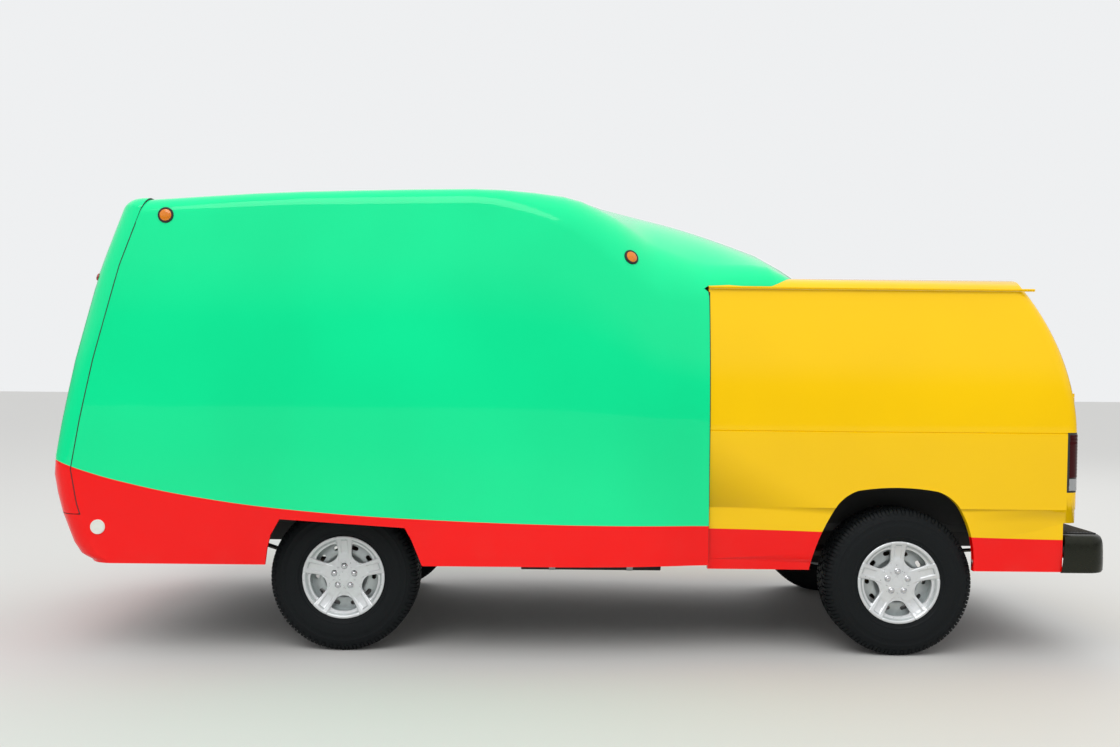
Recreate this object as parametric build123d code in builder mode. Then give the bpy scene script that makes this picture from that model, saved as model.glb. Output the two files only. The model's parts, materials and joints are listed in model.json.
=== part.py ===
from build123d import *
from functools import cache
import math
import os

# Food truck: a tall moulded coach front on the chassis and rear half of a panel van.
# Millimetres. +X runs forward, +Y to the vehicle's left, +Z up, ground at Z = 0.
# The origin is on the ground, midway along and across the whole vehicle.

os.makedirs("parts", exist_ok=True)

# Running gear
wheelbase = 2824.0
nose_overhang = 1540.0
tail_overhang = 1050.0
tyre_radius = 375.0
tyre_width = 235.0
track = 1654.0
king_pin_y = 700.0
front_axle_x = (nose_overhang + wheelbase + tail_overhang) / 2 - nose_overhang
rear_axle_x = front_axle_x - wheelbase
axle_z = tyre_radius
wheel_y = track / 2

# Coach shell and front cap
coach_half_width = 1095.0
coach_belt_z = 1150.0
coach_sill_z = 465.0
coach_wall = 14.0
coach_tumble = 35.0
cap_sill_z = coach_sill_z
cap_ledge_z = 1835.0
cap_top_z = 2286.0
cap_top_radius = 90.0
ledge_shelf = 1.0
nose_corner_radius = 140.0
side_to_crown = 143.0
corner_depth = 200.0
seam_width = 4.0
seam_depth = 5.0

# Doors and lids
shut_gap = 7.0
lid_gap = 10.0
door_thickness = 38.0
seat_gap = 0.3
glass_depth = 5.0
glass_thickness = 5.0

# Van rear half
van_half_width = 985.0
van_sill_inset = 22.0
van_belt_z = 1143.0
van_crease_z = 1304.0
van_step_z = 757.0
van_sill_z = 442.0
van_gutter_z = 1862.0
van_gutter_inset = 67.0
van_roof_z = 1945.0
van_roof_radius = 150.0
van_roof_lean = 35.0
van_wall = 40.0
van_corner_radius = 70.0
van_tail = 900.0
van_bulge_z = 1100.0
van_tail_radius = 1309.0
van_notch_z = 690.0
van_notch_depth = 85.0
van_join = 1846.0
van_front_x = front_axle_x - van_join
van_tail_x = rear_axle_x - van_tail
shell_rim_z = van_gutter_z + 16.0
far = 3000.0


def write(block, node):
    block.part.label = node
    export_step(block.part, "parts/" + node + ".step")


def eased(rows, steps):
    """Rows of a table with extra rows between them, on smooth curves that never overshoot."""
    slopes = []
    for place, row in enumerate(rows):
        before = rows[max(place - 1, 0)]
        after = rows[min(place + 1, len(rows) - 1)]
        slope = []
        for column in range(1, len(row)):
            left = (row[column] - before[column]) / ((row[0] - before[0]) or 1.0)
            right = (after[column] - row[column]) / ((after[0] - row[0]) or 1.0)
            slope.append(0.0 if left * right <= 0 else 2 * left * right / (left + right))
        slopes.append(slope)
    result = []
    for place in range(len(rows) - 1):
        first = rows[place]
        last = rows[place + 1]
        span = last[0] - first[0]
        for step in range(steps):
            t = step / steps
            row = [first[0] + t * span]
            for column in range(1, len(first)):
                start_slope = slopes[place][column - 1] * span
                end_slope = slopes[place + 1][column - 1] * span
                value = (2 * t**3 - 3 * t**2 + 1) * first[column] + (t**3 - 2 * t**2 + t) * start_slope
                value += (3 * t**2 - 2 * t**3) * last[column] + (t**3 - t**2) * end_slope
                row.append(value)
            result.append(tuple(row))
    result.append(rows[-1])
    return result


def roof_corner(edge_y, edge_z, lean, radius, top_z):
    """The circle that turns a side at (edge_y, edge_z), leaning in by lean radians, into
    the crown circle that peaks at top_z. Gives the corner's middle point and its end."""
    centre_y = edge_y - radius * math.cos(lean)
    centre_z = edge_z - radius * math.sin(lean)
    rise = top_z - centre_z
    crown = (centre_y**2 + rise**2 - radius**2) / (2 * (rise - radius))
    reach = math.atan2(centre_z - (top_z - crown), centre_y)
    middle = (lean + reach) / 2
    on_corner = (centre_y + radius * math.cos(middle), centre_z + radius * math.sin(middle))
    meeting = (centre_y + radius * math.cos(reach), centre_z + radius * math.sin(reach))
    return on_corner, meeting


def coach_side_y(z, width=coach_half_width):
    """Half width of the coach's full section at height z, up to the roof's rounding."""
    rise = 2243.0 - coach_belt_z
    side_radius = (rise**2 + coach_tumble**2) / (2 * coach_tumble)
    above = max(z - coach_belt_z, 0.0)
    return width - side_radius + math.sqrt(side_radius**2 - above**2)


# Stations of the coach shell, from ahead of its seam to the tip on the van's roof
coach_stations = (
    # ahead of front axle, half width, tumble, edge height, corner radius, roof height
    (1600.0, coach_half_width, coach_tumble, 2150.0, 90.0, 2250.0),
    (950.0, coach_half_width, coach_tumble, 2196.0, 90.0, 2290.0),
    (200.0, coach_half_width, coach_tumble, 2243.0, 90.0, 2356.0),
    (-650.0, coach_half_width, coach_tumble, 2260.0, 95.0, 2380.0),
    (-1100.0, coach_half_width - 3.0, coach_tumble, 2140.0, 205.0, 2372.0),
    (-1370.0, coach_half_width - 18.0, coach_tumble + 3.0, 1950.0, 330.0, 2352.0),
    (-1600.0, coach_half_width - 52.0, coach_tumble + 12.0, 1800.0, 400.0, 2312.0),
    (-van_join, van_half_width + 9.0, 55.0, 1780.0, 340.0, 2246.0),
    (-2160.0, van_half_width - 5.0, 55.0, 1820.0, 220.0, 2122.0),
    (-2500.0, van_half_width - 15.0, 55.0, 1720.0, 120.0, 1935.0),
)


@cache
def coach_body(inset, drop):
    """The coach's outer form with its skin moved in by inset and its foot lowered by drop."""
    with BuildPart() as body:
        for ahead, width, tumble, edge, radius, roof in eased(coach_stations, 3):
            half = width - inset
            edge_y = half - tumble
            rise = edge - coach_belt_z
            lean = math.asin(rise * 2 * tumble / (rise**2 + tumble**2))
            on_corner, meeting = roof_corner(edge_y, edge, lean, radius - inset, roof - inset)
            foot = coach_sill_z - drop
            with BuildSketch(Plane.YZ.offset(front_axle_x + ahead)):
                with BuildLine():
                    Line((-half, foot), (half, foot))
                    Line((half, foot), (half, coach_belt_z))
                    TangentArc((half, coach_belt_z), (edge_y, edge), tangent=(0, 1))
                    ThreePointArc((edge_y, edge), on_corner, meeting)
                    ThreePointArc(meeting, (0, roof - inset), (-meeting[0], meeting[1]))
                    ThreePointArc((-meeting[0], meeting[1]), (-on_corner[0], on_corner[1]), (-edge_y, edge))
                    TangentArc((-half, coach_belt_z), (-edge_y, edge), tangent=(0, 1))
                    Line((-half, coach_belt_z), (-half, foot))
                make_face()
        loft(ruled=True)
    return body.part


# The cap's nose: how far its rounded corner stands ahead of the front axle at each height
nose_lower = (
    # height, ahead
    (cap_sill_z, 1165.0),
    (505.0, 1228.0),
    (560.0, 1265.0),
    (710.0, 1336.0),
    (990.0, 1397.0),
    (1467.0, 1344.0),
    (cap_ledge_z, 1257.0),
)
nose_upper = (
    # height, ahead
    (cap_ledge_z, 1238.0),
    (2070.0, 1175.0),
    (2180.0, 1130.0),
    (cap_top_z, 1098.0),
)
# Where the cap meets the shell, seen from the side: a groove down to the valance, flush below it
seam_points = (
    # ahead, height
    (900.0, 2500.0),
    (1097.0, 1938.0),
    (1217.0, 1468.0),
    (1279.0, 1168.0),
    (1320.0, 928.0),
    (1289.0, 760.0),
    (1271.6, 707.0),
    (1214.0, 560.0),
    (1177.0, 505.0),
    (1114.0, 465.0),
    (1000.0, 300.0),
)
valance_z = 703.0


def seam_ahead(z):
    """Where the seam lies, ahead of the front axle, at height z."""
    for (upper_x, upper_z), (lower_x, lower_z) in zip(seam_points, seam_points[1:]):
        if lower_z <= z <= upper_z:
            return lower_x + (upper_x - lower_x) * (z - lower_z) / (upper_z - lower_z)
    return seam_points[-1][0]


def nose_stack(rows, inset):
    """One storey of the cap: level outlines with a wide nose arc and tighter corner arcs."""
    with BuildPart() as storey:
        for z, ahead in eased(rows, 3):
            half = coach_side_y(z) - inset
            radius = nose_corner_radius - inset
            crown_x = ahead + side_to_crown - inset
            side_end = min(seam_ahead(z) - 6.0, crown_x - corner_depth)
            centre_y = half - radius
            depth = crown_x - side_end
            nose = (centre_y**2 + depth**2 - radius**2) / (2 * (depth - radius))
            reach = math.atan2(side_end - (crown_x - nose), centre_y)
            middle = reach / 2
            corner = (side_end + radius * math.sin(middle), centre_y + radius * math.cos(middle))
            meeting = (side_end + radius * math.sin(reach), centre_y + radius * math.cos(reach))
            shift = front_axle_x
            back = shift + 700.0
            with BuildSketch(Plane.XY.offset(z)):
                with BuildLine():
                    Line((back, -half), (back, half))
                    Line((back, half), (shift + side_end, half))
                    ThreePointArc((shift + side_end, half), (shift + corner[0], corner[1]),
                                  (shift + meeting[0], meeting[1]))
                    ThreePointArc((shift + meeting[0], meeting[1]), (shift + crown_x, 0),
                                  (shift + meeting[0], -meeting[1]))
                    ThreePointArc((shift + meeting[0], -meeting[1]), (shift + corner[0], -corner[1]),
                                  (shift + side_end, -half))
                    Line((shift + side_end, -half), (back, -half))
                make_face()
        loft(ruled=True)
    return storey.part


@cache
def cap_body(inset, drop):
    """The front cap's outer form, inset by inset, with its foot lowered by drop."""
    top = cap_top_z - inset
    ledge = cap_ledge_z - inset
    lower = ((cap_sill_z - drop, nose_lower[0][1] - drop),) + nose_lower[1:-1] + ((ledge, nose_lower[-1][1]),)
    upper = ((ledge, nose_upper[0][1]),) + nose_upper[1:-1] + ((top, nose_upper[-1][1]),)
    with BuildPart() as body:
        add(nose_stack(lower, inset))
        add(nose_stack(upper, inset + ledge_shelf))
        roof_edges = body.edges().filter_by_position(Axis.Z, top - 1, top + 1)
        roof_edges = roof_edges.filter_by(lambda edge: edge.center().X > front_axle_x + 700.0 + 1)
        fillet(roof_edges, cap_top_radius - inset)
    return body.part


@cache
def cap_face(inset):
    """The cap below its ledge, inset by inset, for what is set into the nose."""
    with BuildPart() as face:
        add(nose_stack(nose_lower, inset))
    return face.part


def slab_x(y_low, y_high, z_low, z_high, x_low, x_high, radius=0.0):
    """A bar along X with a rectangular or rounded section."""
    with BuildPart() as bar:
        with BuildSketch(Plane.YZ.offset(x_low)):
            with Locations(((y_low + y_high) / 2, (z_low + z_high) / 2)):
                if radius:
                    RectangleRounded(y_high - y_low, z_high - z_low, radius)
                else:
                    Rectangle(y_high - y_low, z_high - z_low)
        extrude(amount=x_high - x_low)
    return bar.part


def slab_y(x_low, x_high, z_low, z_high, y_low, y_high, radius=0.0):
    """A bar along Y with a rectangular or rounded section."""
    with BuildPart() as bar:
        with BuildSketch(Plane.XZ.offset(-y_high)):
            with Locations(((x_low + x_high) / 2, (z_low + z_high) / 2)):
                if radius:
                    RectangleRounded(x_high - x_low, z_high - z_low, radius)
                else:
                    Rectangle(x_high - x_low, z_high - z_low)
        extrude(amount=y_high - y_low)
    return bar.part


def prism_y(points, reach=far):
    """A prism along Y through the whole width, over an outline of (x, z) points."""
    with BuildPart() as prism:
        with BuildSketch(Plane.XZ):
            with BuildLine():
                Polyline(*points, close=True)
            make_face()
        extrude(amount=reach, both=True)
    return prism.part


@cache
def van_body(inset, drop):
    """The van's rear half: one section extruded along the vehicle, its tail a single large arc."""
    half = van_half_width - inset
    gutter_y = half - van_gutter_inset
    lean = math.radians(van_roof_lean)
    gutter_z = van_gutter_z - inset * 0.6
    on_corner, meeting = roof_corner(gutter_y, gutter_z, lean, van_roof_radius - inset, van_roof_z - inset)
    foot = van_sill_z - drop
    sill_y = half - van_sill_inset
    tail_x = van_tail_x + inset
    tail_radius = van_tail_radius - inset
    top = van_roof_z + 100.0
    tail_top_x = tail_x + tail_radius - math.sqrt(tail_radius**2 - (top - van_bulge_z) ** 2)
    middle_z = (van_bulge_z + top) / 2
    middle_x = tail_x + tail_radius - math.sqrt(tail_radius**2 - (middle_z - van_bulge_z) ** 2)
    front_x = van_front_x + drop
    with BuildPart() as body:
        with BuildSketch(Plane.YZ.offset(front_x)):
            with BuildLine():
                Line((-sill_y, foot), (sill_y, foot))
                Line((sill_y, foot), (half, van_belt_z))
                TangentArc((half, van_belt_z), (gutter_y, gutter_z), tangent=(0, 1))
                ThreePointArc((gutter_y, gutter_z), on_corner, meeting)
                ThreePointArc(meeting, (0, van_roof_z - inset), (-meeting[0], meeting[1]))
                ThreePointArc((-meeting[0], meeting[1]), (-on_corner[0], on_corner[1]), (-gutter_y, gutter_z))
                TangentArc((-half, van_belt_z), (-gutter_y, gutter_z), tangent=(0, 1))
                Line((-half, van_belt_z), (-sill_y, foot))
            make_face()
        extrude(amount=-(front_x - van_tail_x + 50.0))
        with BuildSketch(Plane.XZ):
            with BuildLine():
                Line((far, foot - 10), (tail_x, foot - 10))
                Line((tail_x, foot - 10), (tail_x, van_bulge_z))
                ThreePointArc((tail_x, van_bulge_z), (middle_x, middle_z), (tail_top_x, top))
                Line((tail_top_x, top), (far, top))
                Line((far, top), (far, foot - 10))
            make_face()
        extrude(amount=far, both=True, mode=Mode.INTERSECT)
        corners = body.edges().filter_by(lambda edge: edge.center().X < van_tail_x + 330.0)
        corners = corners.filter_by(lambda edge: abs(edge.center().Y) > gutter_y - 30.0)
        corners = corners.filter_by(lambda edge: foot + 1.0 < edge.center().Z < gutter_z - 1.0)
        fillet(corners, van_corner_radius - inset)
    return body.part


# Outer and inner forms that the panels are cut from
coach_outer = coach_body(0, 0)
coach_inner = coach_body(coach_wall, 60)
cap_outer = cap_body(0, 0)
cap_inner = cap_body(coach_wall, 60)
van_outer = van_body(0, 0)
van_inner = van_body(van_wall, 60)
behind_seam = prism_y([(front_axle_x + x, z) for x, z in seam_points] + [(-far, 300.0), (-far, 2500.0)])
groove_line = [(front_axle_x + x, z) for x, z in seam_points if z > valance_z] + [
    (front_axle_x + seam_ahead(valance_z), valance_z)]
groove_strip = prism_y([(x - seam_width / 2, z) for x, z in groove_line]
                       + [(far, valance_z), (far, valance_z + seam_width)]
                       + [(x + seam_width / 2, z) for x, z in reversed(groove_line[:-1])])

# Front wheel arch in the coach shell, seen from the side
arch_front = (
    # ahead of the front axle, height
    (356.0, coach_sill_z - 50.0),
    (356.0, coach_sill_z),
    (346.0, 546.0),
    (331.0, 611.0),
    (287.0, 690.0),
    (-331.0, 652.0),
    (-365.0, 593.0),
    (-390.0, 534.0),
    (-419.0, coach_sill_z),
    (-419.0, coach_sill_z - 50.0),
)
front_arch = prism_y([(front_axle_x + x, z) for x, z in arch_front])

# Kerb-side doors and lids in the coach shell: ahead of front axle, and height
door_front = 1040.0
door_rear = 485.0
door_low = 640.0
door_high = 2020.0
hatch_front = -350.0
hatch_rear = -1150.0
counter_low = 990.0
counter_high = 1240.0
hatch_high = 1960.0
hatch_low = counter_high + lid_gap

# Front cap openings
screen_half = 900.0
screen_low = 1220.0
screen_high = 1775.0
screen_radius = 90.0
grille_half = 440.0
grille_low = 735.0
grille_high = 900.0
lamp_inner = 560.0
lamp_outer = 830.0
lamp_low = 800.0
lamp_high = 960.0
turn_low = 712.0
turn_high = 772.0
nose_back_x = front_axle_x + 1000.0
nose_front_x = front_axle_x + nose_overhang + 60.0

# Van rear doors and lamps
rear_door_half = 826.0
rear_door_low = 720.0
rear_door_high = 1794.0
rear_meeting_gap = 12.0
rear_step = 16.0
rear_glass_inner = 150.0
rear_glass_outer = 700.0
rear_glass_low = 1230.0
rear_glass_high = 1600.0
tail_lamp_low = 845.0
tail_lamp_high = 1148.0
tail_lamp_inner = 862.0
tail_lamp_depth = 72.0
tail_deep_x = van_tail_x + 420.0


def kerb_panel(x_rear, x_front, z_low, z_high, radius, outer_inset, inner_inset):
    """A panel of the kerb side, cut from the coach's skin between two insets."""
    with BuildPart() as panel:
        add(coach_outer if outer_inset == 0 else coach_body(outer_inset, 60))
        add(coach_body(inner_inset, 60), mode=Mode.SUBTRACT)
        window = slab_y(front_axle_x + x_rear, front_axle_x + x_front, z_low, z_high, -1300.0, -900.0, radius)
        add(window, mode=Mode.INTERSECT)
    return panel.part


# Coach shell
with BuildPart() as coach_shell:
    add(coach_outer)
    add(coach_inner, mode=Mode.SUBTRACT)
    add(behind_seam, mode=Mode.INTERSECT)
    add(prism_y([(van_front_x, 200.0), (-far, 200.0), (-far, shell_rim_z), (van_front_x, shell_rim_z)]),
        mode=Mode.SUBTRACT)
    add(van_body(-seat_gap, 60), mode=Mode.SUBTRACT)
    add(front_arch, mode=Mode.SUBTRACT)
    for x_rear, x_front, z_low, z_high, radius in (
        (door_rear, door_front, door_low, door_high, 60.0),
        (hatch_rear, hatch_front, counter_low, hatch_high, 30.0),
    ):
        opening = slab_y(front_axle_x + x_rear - shut_gap, front_axle_x + x_front + shut_gap,
                         z_low - shut_gap, z_high + shut_gap, -1300.0, -900.0, radius)
        add(opening, mode=Mode.SUBTRACT)

# The shell is moulded in a left and a right half, bonded along the middle of the roof
middle_plane = Plane(origin=(0, 0, 0), x_dir=(1, 0, 0), z_dir=(0, 1, 0))
for hand, kept in (("left", Keep.TOP), ("right", Keep.BOTTOM)):
    with BuildPart() as shell_half:
        add(split(coach_shell.part, bisect_by=middle_plane, keep=kept))
    write(shell_half, "coach_shell_" + hand)

# Front cap, its seam cut as a groove, with the openings for screen, lamps and grille
with BuildPart() as front_cap:
    add(cap_outer)
    add(cap_inner, mode=Mode.SUBTRACT)
    add(behind_seam, mode=Mode.SUBTRACT)
    add(slab_x(-screen_half, screen_half, screen_low, screen_high, nose_back_x, nose_front_x, screen_radius),
        mode=Mode.SUBTRACT)
    add(slab_x(-grille_half, grille_half, grille_low, grille_high, nose_back_x, nose_front_x, 20.0),
        mode=Mode.SUBTRACT)
    for side in (-1, 1):
        for z_low, z_high in ((lamp_low, lamp_high), (turn_low, turn_high)):
            y_low, y_high = sorted((side * lamp_inner, side * lamp_outer))
            add(slab_x(y_low, y_high, z_low, z_high, nose_back_x, nose_front_x, 20.0), mode=Mode.SUBTRACT)
    with BuildPart(mode=Mode.PRIVATE) as groove:
        add(groove_strip)
        add(cap_body(seam_depth, 60), mode=Mode.SUBTRACT)
    add(groove.part, mode=Mode.SUBTRACT)
write(front_cap, "front_cap")

# Windscreen
with BuildPart() as windscreen:
    add(cap_face(glass_depth))
    add(cap_face(glass_depth + glass_thickness), mode=Mode.SUBTRACT)
    add(slab_x(-screen_half + seat_gap, screen_half - seat_gap, screen_low + seat_gap, screen_high - seat_gap,
               nose_back_x, nose_front_x, screen_radius), mode=Mode.INTERSECT)
write(windscreen, "windscreen")

# Grille: a frame with level bars and three posts, curved with the cap
grille_rim = 14.0
grille_bar = 11.0
grille_bars = 5
grille_thickness = 10.0
grille_depth = 2.0
with BuildPart() as grille:
    with BuildSketch(Plane.YZ.offset(nose_back_x)):
        with Locations((0, (grille_low + grille_high) / 2)):
            RectangleRounded(2 * (grille_half - seat_gap), grille_high - grille_low - 2 * seat_gap, 20.0)
            Rectangle(2 * (grille_half - grille_rim), grille_high - grille_low - 2 * grille_rim,
                      mode=Mode.SUBTRACT)
            with GridLocations(0, (grille_high - grille_low) / (grille_bars + 1), 1, grille_bars):
                Rectangle(2 * grille_half - grille_rim, grille_bar)
            with GridLocations(grille_half / 2, 0, 3, 1):
                Rectangle(grille_bar, grille_high - grille_low - grille_rim)
    extrude(amount=nose_front_x - nose_back_x)
    add(cap_face(grille_depth), mode=Mode.INTERSECT)
    add(cap_face(grille_depth + grille_thickness), mode=Mode.SUBTRACT)
write(grille, "grille")

# Front lamps: a deep block behind each lens opening, headlamp above and turn lamp below
lamp_block = 45.0
lens_depth = 1.0
with BuildPart() as front_lamps:
    for side in (-1, 1):
        for z_low, z_high in ((lamp_low, lamp_high), (turn_low, turn_high)):
            y_low, y_high = sorted((side * (lamp_inner + seat_gap), side * (lamp_outer - seat_gap)))
            add(slab_x(y_low, y_high, z_low + seat_gap, z_high - seat_gap, nose_back_x, nose_front_x, 20.0))
    add(cap_face(lens_depth), mode=Mode.INTERSECT)
    add(cap_face(lamp_block), mode=Mode.SUBTRACT)
write(front_lamps, "front_lamps")

# Side lamps on both sides: lens thickness stands off the skin
lens_stand = 7.0
amber_radius = 32.0
disc_radius = 36.0
red_radius = 20.0
with BuildPart() as side_lamps:
    with BuildPart(mode=Mode.PRIVATE) as coach_lenses:
        for ahead, z, radius in ((874.0, 2190.0, amber_radius), (-1444.0, 2010.0, amber_radius),
                                 (1182.0, 644.0, disc_radius)):
            with BuildSketch(Plane.XZ):
                with Locations((front_axle_x + ahead, z)):
                    Circle(radius)
            extrude(amount=1300.0, both=True)
        add(coach_body(-lens_stand, 0), mode=Mode.INTERSECT)
        add(coach_outer, mode=Mode.SUBTRACT)
    with BuildPart(mode=Mode.PRIVATE) as cap_lenses:
        with BuildSketch(Plane.XZ):
            with Locations((front_axle_x + 1238.0, 1875.0)):
                Circle(red_radius)
        extrude(amount=1300.0, both=True)
        add(cap_body(-lens_stand, 0), mode=Mode.INTERSECT)
        add(cap_outer, mode=Mode.SUBTRACT)
    add(coach_lenses.part)
    add(cap_lenses.part)
write(side_lamps, "side_lamps")

# Cab door, hinged at its front edge, with a window
door_glass_low = 1210.0
door_glass_margin = 75.0
door_x = (door_rear, door_front)
glass_x = (door_rear + door_glass_margin, door_front - door_glass_margin)
glass_z = (door_glass_low, door_high - door_glass_margin)
with BuildPart() as cab_door:
    add(kerb_panel(door_rear, door_front, door_low, door_high, 54.0, 0, door_thickness))
    add(slab_y(front_axle_x + glass_x[0], front_axle_x + glass_x[1], glass_z[0], glass_z[1], -1300.0, -900.0, 50.0),
        mode=Mode.SUBTRACT)
write(cab_door, "cab_door")
with BuildPart() as cab_door_glass:
    add(kerb_panel(glass_x[0] + seat_gap, glass_x[1] - seat_gap, glass_z[0] + seat_gap, glass_z[1] - seat_gap,
                   50.0, glass_depth, glass_depth + glass_thickness))
write(cab_door_glass, "cab_door_glass")

# Service hatch above and counter flap below it
with BuildPart() as service_hatch:
    add(kerb_panel(hatch_rear, hatch_front, hatch_low, hatch_high, 24.0, 0, door_thickness))
write(service_hatch, "service_hatch")
with BuildPart() as counter_flap:
    add(kerb_panel(hatch_rear, hatch_front, counter_low, counter_high, 24.0, 0, door_thickness))
write(counter_flap, "counter_flap")

# Rear wheel arch of the van, seen from the side
arch_rear = (
    # ahead of the rear axle, height: start, middle and end of each arc in turn
    (464.0, 450.0),
    (399.0, 637.0),
    (323.0, 773.0),
    (277.0, 817.0),
    (222.0, 845.0),
    (21.0, 862.0),
    (-180.0, 844.0),
    (-244.0, 812.0),
    (-291.0, 764.0),
    (-347.0, 640.0),
    (-367.0, 503.0),
)
with BuildPart() as rear_arch:
    with BuildSketch(Plane.XZ):
        with BuildLine():
            points = [(rear_axle_x + x, z) for x, z in arch_rear]
            for start in range(0, len(points) - 2, 2):
                ThreePointArc(points[start], points[start + 1], points[start + 2])
            Polyline(points[-1], (points[-1][0], 300.0), (points[0][0], 300.0), points[0])
        make_face()
    extrude(amount=far, both=True)


def tail_notch(margin):
    """The step under the rear doors that the bumper stands in, larger by margin."""
    front = van_tail_x + van_notch_depth + margin
    top = van_notch_z + margin
    return prism_y([(front, 300.0), (-far, 300.0), (-far, top), (front, top)])


# The van's skin as one hollow form, before it is split into panels
with BuildPart() as van_skin:
    add(van_outer)
    with BuildPart(mode=Mode.PRIVATE) as lower_step:
        add(van_outer)
        add(van_body(4.0, 60), mode=Mode.SUBTRACT)
        add(prism_y([(far, 300.0), (-far, 300.0), (-far, van_step_z), (far, van_step_z)]), mode=Mode.INTERSECT)
    add(lower_step.part, mode=Mode.SUBTRACT)
    with BuildPart(mode=Mode.PRIVATE) as hollow:
        add(van_inner)
        add(tail_notch(van_wall), mode=Mode.SUBTRACT)
    add(hollow.part, mode=Mode.SUBTRACT)
    add(rear_arch.part, mode=Mode.SUBTRACT)
    add(tail_notch(0.0), mode=Mode.SUBTRACT)
    for z_line, depth in ((van_belt_z, 4.0), (van_crease_z, 2.5), (493.0, 2.5)):
        for side in (-1, 1):
            half = van_half_width if z_line > 600 else van_half_width - van_sill_inset + 1.6
            with BuildSketch(Plane.YZ.offset(van_front_x + 10)):
                with BuildLine():
                    Polyline((side * (half + 2), z_line - 5), (side * (half - depth), z_line),
                             (side * (half + 2), z_line + 5), close=True)
                make_face()
            extrude(amount=-(van_front_x + 10 - van_tail_x - van_corner_radius), mode=Mode.SUBTRACT)

roof_zone = slab_x(-far, far, van_gutter_z, van_roof_z + 50, -far, far)
header_zone = slab_x(-rear_door_half - shut_gap, rear_door_half + shut_gap, rear_door_high + shut_gap,
                     van_gutter_z, -far, tail_deep_x)
doorway_zone = slab_x(-rear_door_half - shut_gap, rear_door_half + shut_gap, rear_door_low - shut_gap,
                      rear_door_high + shut_gap, -far, tail_deep_x)

# Van roof with a drip rail along each side
rail_tail_x = van_tail_x + 222.0
with BuildPart() as van_roof:
    with BuildPart(mode=Mode.PRIVATE) as roof_skin:
        add(van_skin.part)
        add(roof_zone, mode=Mode.INTERSECT)
    with BuildPart(mode=Mode.PRIVATE) as header:
        add(van_skin.part)
        add(header_zone, mode=Mode.INTERSECT)
    add(roof_skin.part)
    add(header.part)
    for side in (-1, 1):
        gutter_y = van_half_width - van_gutter_inset
        y_low, y_high = sorted((side * (gutter_y - 4.0), side * (gutter_y + 14.0)))
        add(slab_x(y_low, y_high, van_gutter_z, van_gutter_z + 9.0, rail_tail_x, van_front_x))
write(van_roof, "van_roof")

# Van sides with their rear pillars, split at the middle below the doors
for side, node in ((1, "van_side_left"), (-1, "van_side_right")):
    with BuildPart() as van_side:
        add(van_skin.part)
        y_low, y_high = sorted((0.0, side * far))
        add(slab_x(y_low, y_high, 300.0, van_gutter_z, -far, far), mode=Mode.INTERSECT)
        add(header_zone, mode=Mode.SUBTRACT)
        add(doorway_zone, mode=Mode.SUBTRACT)
        y_low, y_high = sorted((side * tail_lamp_inner, side * far))
        add(slab_x(y_low, y_high, tail_lamp_low, tail_lamp_high, -far, van_tail_x + tail_lamp_depth),
            mode=Mode.SUBTRACT)
        add(slab_x(-900.0, 900.0, 300.0, 600.0, -far, van_tail_x + 200.0), mode=Mode.SUBTRACT)
    write(van_side, node)

# Tail lamps, wrapped round the rear pillars
with BuildPart() as tail_lamps:
    for side in (-1, 1):
        y_low, y_high = sorted((side * (tail_lamp_inner + seat_gap), side * far))
        add(slab_x(y_low, y_high, tail_lamp_low + seat_gap, tail_lamp_high - seat_gap, -far,
                   van_tail_x + tail_lamp_depth - seat_gap))
    add(van_outer, mode=Mode.INTERSECT)
    add(van_inner, mode=Mode.SUBTRACT)
write(tail_lamps, "tail_lamps")

# Rear doors: outer leaf wider than the inner one, as on a sealed door, with glass
van_middle = van_body(rear_step, 60)
for side, hand in ((1, "left"), (-1, "right")):
    with BuildPart() as rear_door:
        for outer, inner, meeting in ((van_outer, van_middle, rear_meeting_gap / 2),
                                      (van_middle, van_inner, rear_meeting_gap / 2 + rear_step)):
            with BuildPart(mode=Mode.PRIVATE) as leaf:
                y_low, y_high = sorted((side * meeting, side * rear_door_half))
                add(slab_x(y_low, y_high, rear_door_low, rear_door_high, -far, tail_deep_x))
                add(outer, mode=Mode.INTERSECT)
                add(inner, mode=Mode.SUBTRACT)
            add(leaf.part)
        y_low, y_high = sorted((side * rear_glass_inner, side * rear_glass_outer))
        add(slab_x(y_low, y_high, rear_glass_low, rear_glass_high, -far, tail_deep_x, 60.0), mode=Mode.SUBTRACT)
    write(rear_door, "rear_door_" + hand)
    with BuildPart() as rear_glass:
        y_low, y_high = sorted((side * (rear_glass_inner + seat_gap), side * (rear_glass_outer - seat_gap)))
        add(slab_x(y_low, y_high, rear_glass_low + seat_gap, rear_glass_high - seat_gap, -far, tail_deep_x, 60.0))
        add(van_body(glass_depth, 60), mode=Mode.INTERSECT)
        add(van_body(glass_depth + glass_thickness, 60), mode=Mode.SUBTRACT)
    write(rear_glass, "rear_glass_" + hand)

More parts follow.
